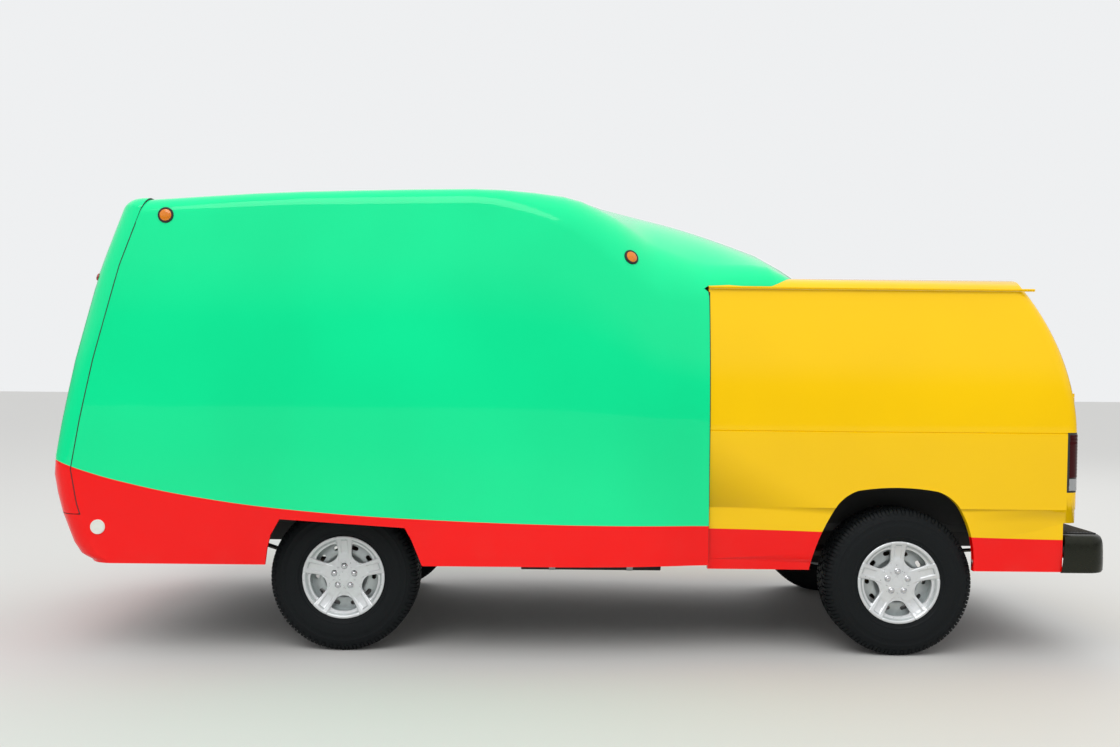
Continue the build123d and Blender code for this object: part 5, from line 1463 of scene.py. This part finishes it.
for side in (1, -1):
    a_low, a_high = sorted((side * 0.564, side * 0.826))
    for low, high, radius, bezel_radius, ribs, rib_height, back_lift, steps, lenses in front_lamps:
        lenses.append(lens_plate(on_cap, a_low, a_high, low, high, radius, -0.001, 0.004, ribs, rib_height))
        bezel = rounded_outline(a_low - 0.004, a_high + 0.004, low - 0.004, high + 0.004, bezel_radius)
        wall = rounded_outline(a_low - 0.003, a_high + 0.003, low - 0.0035, high + 0.0035, 0.018)
        back = rounded_rows(a_low, a_high, low, high, radius, 24, steps)
        head_bezels.append(strip_on(on_cap, bezel, bezel_section))
        lamp_boxes.append(strip_on(on_cap, wall, wall_section))
        lamp_boxes.append(plain_mesh(*patch_on(on_cap, back, back_lift)))
    for bowl_y in (side * 0.628, side * 0.762):
        foot = Vector((cap_x(bowl_y, BOWL_Z) - 0.044, bowl_y, BOWL_Z))
        head_bowls.append(aimed(bowl, foot, (1, 0, 0)))
        head_bulbs.append(aimed(bulb, foot, (1, 0, 0)))
put("headlamp_lenses", head_lenses, clear_lens, "vehicle", "front_lamps")
put("headlamp_bowls", head_bowls, chrome_trim, "vehicle")
put("headlamp_bulbs", head_bulbs, white_plastic, "vehicle")
put("turn_lenses", turn_lenses, amber_lens, "vehicle")
put("lamp_bezels", head_bezels, chrome_trim, "vehicle")
put("lamp_housings", lamp_boxes, trim_plastic, "vehicle")
grille_section = ((-0.007, -0.004), (-0.007, 0.004), (-0.002, 0.0065), (0.004, 0.005), (0.006, -0.002))
grille_outline = rounded_outline(-0.443, 0.443, 0.732, 0.903, 0.022, 8, 10)
grille_frame = strip_on(on_cap, grille_outline, grille_section)
put("grille_frame", grille_frame, chrome_trim, "vehicle")
mesh_lines = []
for row in range(1, 6):
    z = 0.735 + 0.165 * row / 6
    slat = [on_cap(-0.430 + 0.86 * k / 24, z, 0.0005) for k in range(25)]
    mesh_lines.append(tube(slat, 0.0030, 8))
put("grille_brights", mesh_lines, chrome_trim, "vehicle")
print("nose dressed")

# %% [markdown]
# ## Kerb side: entry door, hatch and counter
# Doors need what makes them work: a rubber in the gap, hinges on the real axis, a handle and latches.
# Each piece rides the body that it is bolted to, so a hinge is split between the door and the vehicle,
# and its knuckles share one axis. That way it still looks right with the door open.

# %% Rubber in the gaps and round the door's glass
kerb = on_coach(-1)
seal_section = ((-0.0030, -0.012), (-0.0030, -0.004), (0.0, -0.0022), (0.0030, -0.004), (0.0030, -0.012))
glass_rubber = ((-0.011, -0.005), (-0.011, 0.0025), (-0.007, 0.0050), (0.006, 0.0050), (0.011, 0.002),
                (0.011, -0.005))
door_outline = rounded_outline(FRONT_AXLE + 0.4815, FRONT_AXLE + 1.0435, 0.6365, 2.0235, 0.057, 8, 16)
door_rubber = strip_on(kerb, door_outline, seal_section)
put("entry_door_rubber", door_rubber, seal_rubber, "vehicle")
glass_outline = rounded_outline(FRONT_AXLE + 0.560, FRONT_AXLE + 0.965, 1.210, 1.945, 0.050, 8, 10)
pane_rubber = strip_on(kerb, glass_outline, glass_rubber)
put("entry_glass_rubber", pane_rubber, seal_rubber, "cab_door")
opening_outline = rounded_outline(FRONT_AXLE - 1.1535, FRONT_AXLE - 0.3465, 0.9865, 1.9635, 0.030, 6, 14)
opening_rubber = strip_on(kerb, opening_outline, seal_section)
put("serving_rubber", opening_rubber, seal_rubber, "vehicle")

# %% Entry door: hinges, handle and lock
HINGE_X, HINGE_Y = FRONT_AXLE + 1.043, -1.097
KERB_WAY = (0, -1, 0)
upright = Matrix.Rotation(math.pi / 2, 4, "X")
leaf_section = ((0.0, -0.001), (0.0, 0.0045), (0.044, 0.0045), (0.046, 0.0025), (0.046, -0.001))
screw = lathe([(0.0, 0.0020), (0.0022, 0.0020), (0.0040, 0.0010), (0.0045, -0.0010)], 16)
frame_side, door_side = [], []
for hinge_z in (0.86, 1.78):
    for low, high, group in (
        (-0.055, -0.021, frame_side),
        (-0.020, 0.020, door_side),
        (0.021, 0.055, frame_side),
    ):
        knuckle = hinge_barrel(low, high, 0.0100, 0.0085, 0.002)
        knuckle.transform(Matrix.Translation((HINGE_X, HINGE_Y, hinge_z)) @ upright)
        group.append(knuckle)
    for way, group in ((1, frame_side), (-1, door_side)):
        leaf_line = [(HINGE_X + way * 0.008, hinge_z - 0.05 + 0.01 * k) for k in range(11)]
        leaf = [(way * across, lift) for across, lift in leaf_section]
        group.append(strip_on(kerb, leaf_line, leaf, closed=False))
        for step in (-0.032, 0.0, 0.032):
            spot = kerb(HINGE_X + way * 0.030, hinge_z + step, 0.0045)
            group.append(aimed(screw, spot, KERB_WAY))
put("entry_hinges_fixed", frame_side, chrome_trim, "vehicle")
put("entry_hinges_moving", door_side, chrome_trim, "cab_door")
plate_line = [(FRONT_AXLE + 0.520 + 0.012 * k, 1.100) for k in range(12)]
grip_path = ((0.535, 0.004), (0.540, 0.018), (0.556, 0.028), (0.600, 0.030), (0.628, 0.026), (0.640, 0.012))
grip = [kerb(FRONT_AXLE + ahead, 1.108, lift) for ahead, lift in grip_path]
grip_plate = strip_on(kerb, plate_line, plate_section(0.034, 0.0045), closed=False)
put("entry_handle", [grip_plate, tube(grip, 0.0075, 14)], trim_plastic, "cab_door")
barrel = lathe([(0.0, 0.0050), (0.0070, 0.0050), (0.0072, 0.0062), (0.0105, 0.0062), (0.0120, 0.0045),
                (0.0120, -0.001)], 28)
key_slot = soft_block((-0.0008, 0.0040, -0.0045), (0.0008, 0.0056, 0.0045), 0.0003, 1)


def lock_at(spot, outward):
    """A lock's barrel and its key slot."""
    return [aimed(barrel, spot, outward), aimed(key_slot, spot, outward)]


entry_lock = lock_at(kerb(FRONT_AXLE + 0.588, 1.078, 0.0040), KERB_WAY)
put("entry_lock", entry_lock, chrome_trim, "cab_door")

# %% Long hinges of hatch and counter, latches at the hatch's foot, catches of the counter
HINGE_COUNT = 20
HINGE_BACK, HINGE_FRONT = FRONT_AXLE - 1.140, FRONT_AXLE - 0.360
HINGE_GAP = 0.0012
LATCH_Z, CATCH_Z = 1.292, 1.196
barrel_share = (HINGE_FRONT - HINGE_BACK) / HINGE_COUNT
lengthwise = Matrix.Rotation(-math.pi / 2, 4, "Z")
for label, body, pin_y, pin_z, first in (
    ("hatch_hinge_fixed", "vehicle", -1.0778, 1.963, 0),
    ("hatch_hinge_moving", "service_hatch", -1.0778, 1.963, 1),
    ("counter_hinge_fixed", "vehicle", -1.097, 0.987, 0),
    ("counter_hinge_moving", "counter_flap", -1.097, 0.987, 1),
):
    barrels = []
    for number in range(first, HINGE_COUNT, 2):
        start = HINGE_BACK + number * barrel_share + HINGE_GAP / 2
        knuckle = hinge_barrel(0.0, barrel_share - HINGE_GAP, 0.0058, 0.0052, 0.0006, 14)
        knuckle.transform(Matrix.Translation((start, pin_y, pin_z)) @ lengthwise)
        barrels.append(knuckle)
    put(label, barrels, chrome_trim, body)
latch_parts, catch_parts = [], []
lever = soft_block((-0.034, 0.004, -0.009), (0.034, 0.012, 0.009), 0.003)
for latch_x in (FRONT_AXLE - 0.98, FRONT_AXLE - 0.52):
    base_line = [(latch_x - 0.045 + 0.010 * k, LATCH_Z) for k in range(10)]
    latch_parts.append(strip_on(kerb, base_line, plate_section(0.018, 0.0045), closed=False))
    latch_parts.append(aimed(lever, kerb(latch_x, LATCH_Z, 0.0), KERB_WAY))
put("hatch_latches", latch_parts, trim_plastic, "service_hatch")
knob = lathe([(0.0, 0.021), (0.006, 0.0205), (0.009, 0.018), (0.009, 0.012), (0.006, 0.009),
              (0.006, 0.003)], 24)
for catch_x in (FRONT_AXLE - 1.08, FRONT_AXLE - 0.42):
    base_line = [(catch_x - 0.020 + 0.010 * k, CATCH_Z) for k in range(5)]
    catch_parts.append(strip_on(kerb, base_line, plate_section(0.020, 0.0050), closed=False))
    catch_parts.append(aimed(knob, kerb(catch_x, CATCH_Z, 0.0), KERB_WAY))
put("counter_catches", catch_parts, chrome_trim, "counter_flap")
print("kerb side dressed")

# %% [markdown]
# ## Rear end: doors, lamps and step bumper
# The rear doors close on rubbers and hang on strap hinges that reach out to a straight axis, since the
# van's tail bows and a hinge can't. The tail lamps are deep black frames with a red lens above a clear
# one. The bumper is folded plate with a ribbed pad on top, where a foot goes.

# %% Rubbers of the rear doors and of their glass
tail_seal = ((-0.0030, -0.012), (-0.0030, -0.0045), (0.0, -0.0028), (0.0030, -0.0045), (0.0030, -0.012))
doorway_outline = rounded_outline(-0.8295, 0.8295, 0.7165, 1.7975, 0.006, 4, 20)
doorway_rubber = strip_on(on_tail, doorway_outline, tail_seal)
put("rear_door_rubber", doorway_rubber, seal_rubber, "vehicle")
for side, hand in ((1, "left"), (-1, "right")):
    low, high = sorted((side * 0.150, side * 0.700))
    window_outline = rounded_outline(low, high, 1.230, 1.600, 0.060, 8, 10)
    pane_rubber = strip_on(on_tail, window_outline, glass_rubber)
    put("rear_glass_rubber_" + hand, pane_rubber, seal_rubber, "rear_door_" + hand)
DOOR_LOW, DOOR_HIGH = 0.724, 1.790
meeting_line = [(0.0, DOOR_LOW + (DOOR_HIGH - DOOR_LOW) * k / 30) for k in range(31)]
meeting_section = ((-0.0045, -0.014), (-0.0045, -0.0060), (0.0, -0.0035), (0.0045, -0.0060), (0.0045, -0.014))
meeting_rubber = strip_on(on_tail, meeting_line, meeting_section, closed=False)
put("rear_meeting_rubber", meeting_rubber, seal_rubber, "rear_door_right")

# %% Strap hinges, handle and lock of the rear doors
REAR_WAY = (-1, 0, 0)
PIN_X, PIN_Y = VAN_TAIL - 0.022, 0.829
ARM_HALF = 0.0035
foot_section = ((-0.034, -0.001), (-0.034, 0.0030), (0.034, 0.0030), (0.034, -0.001))
for side, hand in ((1, "left"), (-1, "right")):
    fixed, moving = [], []
    for hinge_z in (0.79, 1.05, 1.31):
        for low, high, group in ((-0.034, -0.013, fixed), (-0.0124, 0.0124, moving), (0.013, 0.034, fixed)):
            knuckle = hinge_barrel(low, high, 0.0095, 0.0080, 0.0015)
            knuckle.transform(Matrix.Translation((PIN_X, side * PIN_Y, hinge_z)) @ upright)
            group.append(knuckle)
        gap = on_tail(0.0, hinge_z, 0.0).x - PIN_X
        for low, high, group, outward in (
            (-0.034, -0.016, fixed, 1),
            (0.016, 0.034, fixed, 1),
            (-0.011, 0.011, moving, -1),
        ):
            foot_z, top_z = hinge_z + low, hinge_z + high
            rows = []
            for ahead, sideways in ((0.0, 0.0), (gap * 0.75, 0.010), (gap + 0.006, 0.012)):
                x = PIN_X + ahead
                y = side * (PIN_Y + outward * sideways)
                rows.append([(x, y - ARM_HALF, foot_z), (x, y + ARM_HALF, foot_z),
                             (x, y + ARM_HALF, top_z), (x, y - ARM_HALF, top_z)])
            group.append(block_mesh(rows))
        strap_line = [(side * (0.812 - 0.012 * k), hinge_z) for k in range(13)]
        moving.append(strip_on(on_tail, strap_line, plate_section(0.014, 0.0050), closed=False))
        foot_line = [(side * (0.836 + 0.006 * k), hinge_z) for k in range(5)]
        fixed.append(strip_on(on_tail, foot_line, foot_section, closed=False))
    put("rear_hinges_fixed_" + hand, fixed, van_paint, "vehicle")
    put("rear_hinges_moving_" + hand, moving, van_paint, "rear_door_" + hand)
plate_line = [(-0.055 - 0.012 * k, 1.100) for k in range(14)]
grip_path = ((0.075, 0.004), (0.080, 0.018), (0.095, 0.026), (0.160, 0.028), (0.190, 0.022), (0.198, 0.008))
grip = [on_tail(-across, 1.104, lift) for across, lift in grip_path]
grip_plate = strip_on(on_tail, plate_line, plate_section(0.030, 0.0045), closed=False)
put("rear_handle", [grip_plate, tube(grip, 0.0075, 14)], trim_plastic, "rear_door_right")
rear_lock = lock_at(on_tail(-0.120, 1.082, 0.0040), REAR_WAY)
put("rear_lock", rear_lock, chrome_trim, "rear_door_right")
print("rear doors dressed")

# %% Tail lamps: black frame, red lens, clear lens below
def split_copy(node_name, cuts):
    """A merged copy of a CAD node's mesh with extra edges along flat cuts."""
    form = bmesh.new()
    form.from_mesh(nodes[node_name].data)
    bmesh.ops.remove_doubles(form, verts=form.verts, dist=0.00002)
    for spot, way in cuts:
        whole = form.verts[:] + form.edges[:] + form.faces[:]
        bmesh.ops.bisect_plane(form, geom=whole, dist=0.00001, plane_co=spot, plane_no=way)
    return form


RIM, BAR, RIB_STEP = 0.010, 0.002, 0.0084
LENS_LOW, LENS_HIGH, LENS_SPLIT = 0.8453 + RIM, 1.1477 - RIM, 0.917
LENS_FRONT = VAN_TAIL + 0.0717 - RIM
LENS_INNER = 0.8623 + RIM
cut_heights = [LENS_LOW, LENS_HIGH, LENS_SPLIT - BAR, LENS_SPLIT + BAR]
rib_heights = [LENS_SPLIT + BAR + number * RIB_STEP for number in range(1, 26)]
lamp_cuts = [((0, 0, z), (0, 0, 1)) for z in cut_heights]
lamp_cuts.append(((LENS_FRONT, 0, 0), (1, 0, 0)))
lamp_cuts += [((0, side * LENS_INNER, 0), (0, 1, 0)) for side in (1, -1)]
lamp_cuts += [((0, 0, z), (0, 0, 1)) for z in rib_heights]
lamp_form = split_copy("tail_lamps", lamp_cuts)
lens_faces = {"red": [], "clear": []}
for face in lamp_form.faces:
    spot = face.calc_center_median()
    side = 1 if spot.y > 0 else -1
    faces_out = face.normal.dot(Vector((-0.45, 0.9 * side, 0))) > 0.35
    in_height = LENS_LOW < spot.z < LENS_HIGH and abs(spot.z - LENS_SPLIT) >= BAR
    in_plan = spot.x < LENS_FRONT and abs(spot.y) > LENS_INNER
    if faces_out and in_height and in_plan:
        lens_faces["red" if spot.z > LENS_SPLIT else "clear"].append(face)
for label, faces in lens_faces.items():
    for face in faces:
        face.material_index = 1 if label == "red" else 2
    grown = bmesh.ops.extrude_face_region(lamp_form, geom=faces)
    moved = {v for v in grown["geom"] if isinstance(v, bmesh.types.BMVert)}
    lamp_form.normal_update()
    for vert in moved:
        row = round((vert.co.z - LENS_SPLIT) / RIB_STEP)
        vert.co += vert.normal * (0.0026 + (0.0010 if row % 2 else 0.0))
    bmesh.ops.delete(lamp_form, geom=[f for f in faces if f.is_valid], context="FACES")
bmesh.ops.recalc_face_normals(lamp_form, faces=lamp_form.faces)
lamp_mesh = bpy.data.meshes.new("tail_lamp_units")
lamp_form.to_mesh(lamp_mesh)
lamp_form.free()
lamp_mesh.shade_smooth()
lamp_mesh.set_sharp_from_angle(angle=math.radians(28))
for material in (trim_plastic, dark_red_lens, clear_lens):
    lamp_mesh.materials.append(material)
tail_units = bpy.data.objects.new("tail_lamp_units", lamp_mesh)
scene.collection.objects.link(tail_units)
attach(tail_units, "vehicle")
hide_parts("tail_lamps")
print("tail lamps", len(lens_faces["red"]), "red faces", len(lens_faces["clear"]), "clear faces")

# %% Bumper skin drawn round its plan
BUMPER_REAR, BUMPER_FRONT, BUMPER_HALF, BUMPER_TURN = -2.707, -2.475, 0.975, 0.095
straight = BUMPER_HALF - BUMPER_TURN
plan = [(BUMPER_FRONT - 0.020 * k, BUMPER_HALF) for k in range(7)]
for turned in [math.radians(90 * k / 12) for k in range(13)]:
    x = BUMPER_REAR + BUMPER_TURN - BUMPER_TURN * math.sin(turned)
    plan.append((x, straight + BUMPER_TURN * math.cos(turned)))
plan += [(BUMPER_REAR, straight - straight * k / 10) for k in range(1, 11)]
plan += [(x, -y) for x, y in reversed(plan[:-1])]
face_section = (
    # lift, height
    (-0.016, 0.4370), (-0.006, 0.4400), (0.0, 0.4500), (0.0015, 0.4900), (0.0015, 0.5400),
    (0.0, 0.5800), (-0.004, 0.6020), (-0.012, 0.6180), (-0.024, 0.6262), (-0.050, 0.6280),
    (-0.050, 0.6220), (-0.026, 0.6205), (-0.017, 0.6140), (-0.010, 0.6000), (-0.006, 0.5780),
    (-0.0045, 0.5400), (-0.0045, 0.4900), (-0.006, 0.4540), (-0.010, 0.4460), (-0.016, 0.4430),
)


def on_bumper(number, height, lift):
    """A place at a point of the plan, at a height, lifted outwards. The ends lean with the height."""
    x, y = plan[number]
    low = min(number, len(plan) - 2)
    before, after = plan[max(low - 1, 0)], plan[min(low + 2, len(plan) - 1)]
    run = Vector((after[0] - before[0], after[1] - before[1])).normalized()
    ahead = max(0.0, (x - BUMPER_REAR) / (BUMPER_FRONT - BUMPER_REAR))
    lean = 0.020 * (0.530 - height) / 0.19 * ahead**2
    return Vector((x + run.y * lift + lean, y - run.x * lift, height))


bumper_corners = []
for number in range(len(plan)):
    bumper_corners += [on_bumper(number, height, lift) for lift, height in face_section]
bumper_face = swept(bumper_corners, len(face_section), False)
print("bumper plan points", len(plan))

# %% Top plate with the ball's hole, and brackets
BALL_X = (VAN_TAIL + 0.082 + BUMPER_REAR) / 2
BALL_HOLE, BALL_PLATE = 0.016, 0.066
PLATE_FOOT, PLATE_TOP = 0.6220, 0.6275
ring, square = [], []
for turned in [2 * math.pi * k / 32 for k in range(32)]:
    reach = BALL_PLATE / max(abs(math.cos(turned)), abs(math.sin(turned)))
    ring.append((BALL_X + BALL_HOLE * math.cos(turned), BALL_HOLE * math.sin(turned)))
    square.append((BALL_X + reach * math.cos(turned), reach * math.sin(turned)))
top_corners, top_faces = [], []
for z in (PLATE_TOP, PLATE_FOOT):
    top_corners += [(x, y, z) for x, y in square + ring]
for k in range(32):
    n = (k + 1) % 32
    top_faces += [(k, n, 32 + n, 32 + k), (64 + n, 64 + k, 96 + k, 96 + n)]
    top_faces += [(32 + k, 32 + n, 96 + n, 96 + k), (n, k, 64 + k, 64 + n)]
bumper_parts = [bumper_face, plain_mesh(top_corners, top_faces)]
for side in (1, -1):
    low_y, high_y = sorted((side * BALL_PLATE, side * 0.920))
    beside_low = (BALL_X - BALL_PLATE, low_y, PLATE_FOOT)
    beside_high = (BALL_X + BALL_PLATE, high_y, PLATE_TOP)
    bumper_parts.append(soft_block(beside_low, beside_high, 0.0008, 1))
    bracket_low = (BUMPER_REAR + 0.006, side * 0.420 - 0.030, 0.490)
    bracket_high = (VAN_TAIL + 0.0597, side * 0.420 + 0.030, 0.600)
    bumper_parts.append(soft_block(bracket_low, bracket_high, 0.002, 1))
for plate_low, plate_high in (
    ((BALL_X + 0.0662, -0.930, PLATE_FOOT), (BUMPER_FRONT, 0.930, PLATE_TOP)),
    ((BUMPER_REAR + 0.030, -0.880, PLATE_FOOT - 0.0005), (BALL_X - 0.0662, 0.880, PLATE_TOP - 0.0005)),
):
    bumper_parts.append(soft_block(plate_low, plate_high, 0.0008, 1))
put("bumper_skin", bumper_parts, bumper_grey, "vehicle", "rear_bumper")

# %% Step pads with ribs, plate nuts and bumper bolts
pads = []
for side in (1, -1):
    low_y, high_y = sorted((side * 0.085, side * 0.900))
    pad_low = (BUMPER_REAR + 0.034, low_y, 0.6272)
    pad_high = (BUMPER_FRONT - 0.030, high_y, 0.6335)
    pads.append(soft_block(pad_low, pad_high, 0.0030, 2))
    for x in [BUMPER_REAR + 0.048 + row * 0.0165 for row in range(9)]:
        rib_low = (x - 0.0032, low_y + 0.010, 0.6325)
        rib_high = (x + 0.0032, high_y - 0.010, 0.6365)
        pads.append(soft_block(rib_low, rib_high, 0.0014, 1))
put("step_pads", pads, trim_plastic, "vehicle")
plate_nut = lathe([(0.0038, 0.0010), (0.0048, 0.0022), (0.0078, 0.0022), (0.0088, 0.0012), (0.0088, -0.0010),
                   (0.0038, -0.0010)], 24, closed=True)
bolt_head = lathe([(0.0, 0.0052), (0.005, 0.0048), (0.009, 0.0034), (0.0115, 0.0012), (0.0120, -0.0010)], 24)
bolt_set = []
for side in (1, -1):
    bolt_set.append(aimed(plate_nut, Vector((BUMPER_REAR - 0.0005, side * 0.089, 0.540)), REAR_WAY))
    for y, z in ((0.405, 0.520), (0.435, 0.520), (0.405, 0.570), (0.435, 0.570)):
        bolt_set.append(aimed(bolt_head, Vector((BUMPER_REAR - 0.0012, side * y, z)), REAR_WAY))
put("bumper_bolts", bolt_set, chrome_trim, "vehicle")
print("step pad parts", len(pads), "bolts", len(bolt_set))

# %% [markdown]
# ## Underside: what holds the axles, the tank and the exhaust
# From below, the springs would lie on the axles with nothing to hold them. On the real vehicle U-shaped
# bolts clamp each spring to its axle, cheek plates carry the spring eyes at the rails, straps hold the
# tank, and bands close the silencer. They repeat at four places, so one short table places them all.

# %% U-bolts and spring hangers
clamp_rods, clamp_plates, cheeks, pins = [], [], [], []
hex_nut = lathe([(0.0, 0.010), (0.0085, 0.010), (0.0100, 0.0085), (0.0100, 0.0), (0.0, 0.0)], 6)
spring_table = (
    # axle along X, half length of the top leaf, top of the stack, underside of the axle
    (FRONT_AXLE, 0.560, 0.3745, 0.268),
    (REAR_AXLE, 0.620, 0.4515, 0.335),
)
EYE_Z = 0.4727
bend = ((0.0, -0.004), (0.004, 0.004), (0.012, 0.0075))
head = lathe([(0.0, 0.0085), (0.0090, 0.0085), (0.0105, 0.0070), (0.0105, -0.0005)], 6)
for axle_x, half_length, stack_top, axle_foot in spring_table:
    for side in (1, -1):
        for step in (-0.042, 0.042):
            x = axle_x + step * (1.0 if axle_x > 0 else 1.22)
            inner_y, outer_y = side * 0.381, side * 0.459
            rod = [(x, inner_y, axle_foot - 0.026)]
            rod += [(x, inner_y + side * inward, stack_top + rise) for inward, rise in bend]
            rod += [(x, outer_y - side * inward, stack_top + rise) for inward, rise in reversed(bend)]
            rod.append((x, outer_y, axle_foot - 0.026))
            clamp_rods.append(tube(rod, 0.0060, 10))
            for y in (inner_y, outer_y):
                nut = hex_nut.copy()
                nut.transform(Matrix.Translation((x, y, axle_foot - 0.0102)) @ upright.inverted())
                clamp_rods.append(nut)
        low_y, high_y = sorted((side * 0.370, side * 0.470))
        plate_low = (axle_x - 0.064, low_y, axle_foot - 0.0100)
        plate_high = (axle_x + 0.064, high_y, axle_foot - 0.0005)
        clamp_plates.append(soft_block(plate_low, plate_high, 0.002, 1))
        for end in (-1, 1):
            eye_x = axle_x + end * half_length
            for cheek_y in (0.3875, 0.4525):
                low_y, high_y = sorted((side * (cheek_y - 0.0025), side * (cheek_y + 0.0025)))
                cheek_low = (eye_x - 0.024, low_y, EYE_Z - 0.024)
                cheeks.append(soft_block(cheek_low, (eye_x + 0.024, high_y, 0.560), 0.0010, 1))
            for way, y in ((1, 0.4552), (-1, 0.3848)):
                pins.append(aimed(head, Vector((eye_x, side * y, EYE_Z)), (0, side * way, 0)))
put("spring_clamps", clamp_rods, raw_iron, "vehicle")
put("clamp_plates", clamp_plates, chassis_black, "vehicle")
put("spring_hangers", cheeks, chassis_black, "vehicle")
put("hanger_bolts", pins, raw_iron, "vehicle")

# %% Tank straps, silencer bands and pipe hangers
def band(outline, x_low, x_high, thickness):
    """A flat band round an outline of (y, z) points, as wide as x_low to x_high."""
    count = len(outline)
    corners = []
    for number, (y, z) in enumerate(outline):
        before, after = outline[number - 1], outline[(number + 1) % count]
        run = Vector((after[0] - before[0], after[1] - before[1])).normalized()
        for x, lift in ((x_low, 0.0003), (x_low, thickness), (x_high, thickness), (x_high, 0.0003)):
            corners.append((x, y + run.y * lift, z - run.x * lift))
    return swept(corners, 4, True)


tank_outline = rounded_outline(0.480, 0.860, 0.405, 0.5997, 0.045, 8, 4)
straps = [band(tank_outline, FRONT_AXLE + x - 0.016, FRONT_AXLE + x + 0.016, 0.0022) for x in (-1.06, -1.46)]
put("tank_straps", straps, steel_silver, "vehicle")
silencer_outline = []
for turned in [2 * math.pi * k / 64 for k in range(64)]:
    silencer_outline.append((-0.620 + 0.125 * math.cos(turned), 0.475 + 0.075 * math.sin(turned)))
bands = []
for ahead, half, thickness in ((-1.056, 0.006, 0.004), (-1.644, 0.006, 0.004), (-1.22, 0.011, 0.0018),
                               (-1.48, 0.011, 0.0018)):
    middle_x = FRONT_AXLE + ahead
    bands.append(band(silencer_outline, middle_x - half, middle_x + half, thickness))
hangers = []
for x, foot_z in ((FRONT_AXLE - 1.22, 0.546), (FRONT_AXLE - 1.48, 0.546), (REAR_AXLE - 0.62, 0.484)):
    hangers.append(soft_block((x - 0.012, -0.632, foot_z), (x + 0.012, -0.608, 0.599), 0.004, 2))
put("silencer_bands", bands, pipe_steel, "vehicle")
put("pipe_hangers", hangers, seal_rubber, "vehicle")
print("underside dressed", len(clamp_rods), len(cheeks))

# %% [markdown]
# ## Where the coach meets the van
# The moulding ends in a flange that is bonded to the van's front edge. On the photo that joint is a thin
# dark line. A straight rod would float or sink where the sides bow, so the sealant is a strip drawn
# through the rule of the van's side, and the bead in the cap's seam follows the coach in the same way.
# The drip rail runs back from the joint in a straight line, and a round bar gives it its rolled edge.

# %% Joint line, bead in the cap's seam and drip rail
joint_section = ((-0.0040, -0.002), (-0.0040, 0.0022), (0.0, 0.0034), (0.0035, 0.0022), (0.0035, -0.002))
bead_section = ((-0.0024, -0.002), (-0.0024, 0.0005), (0.0, 0.0009), (0.0024, 0.0005), (0.0024, -0.002))
JOINT_LOW, JOINT_HIGH = 0.470, 1.845
RAIL_FRONT, RAIL_BACK = VAN_FRONT - 0.002, VAN_TAIL + 0.224
RAIL_Y, RAIL_Z = 0.9325, 1.8705
joint_line = [(VAN_FRONT - 0.0010, JOINT_LOW + (JOINT_HIGH - JOINT_LOW) * k / 60) for k in range(61)]
seam_line = [(FRONT_AXLE + seam_ahead(z), z) for z in np.linspace(GROOVE_FOOT, 2.15, 60).tolist()]
joint_strips, rail_lips = [], []
for side in (1, -1):
    joint_strips.append(strip_on(on_van(side), joint_line, joint_section, closed=False))
    joint_strips.append(strip_on(on_coach(side), seam_line, bead_section, closed=False))
    lip = [(RAIL_FRONT - (RAIL_FRONT - RAIL_BACK) * k / 24, side * RAIL_Y, RAIL_Z) for k in range(25)]
    rail_lips.append(tube(lip, 0.0042, 10))
put("joint_sealant", joint_strips, seal_rubber, "vehicle")
put("drip_rail_lips", rail_lips, van_paint, "vehicle")
print("joint and rail dressed")
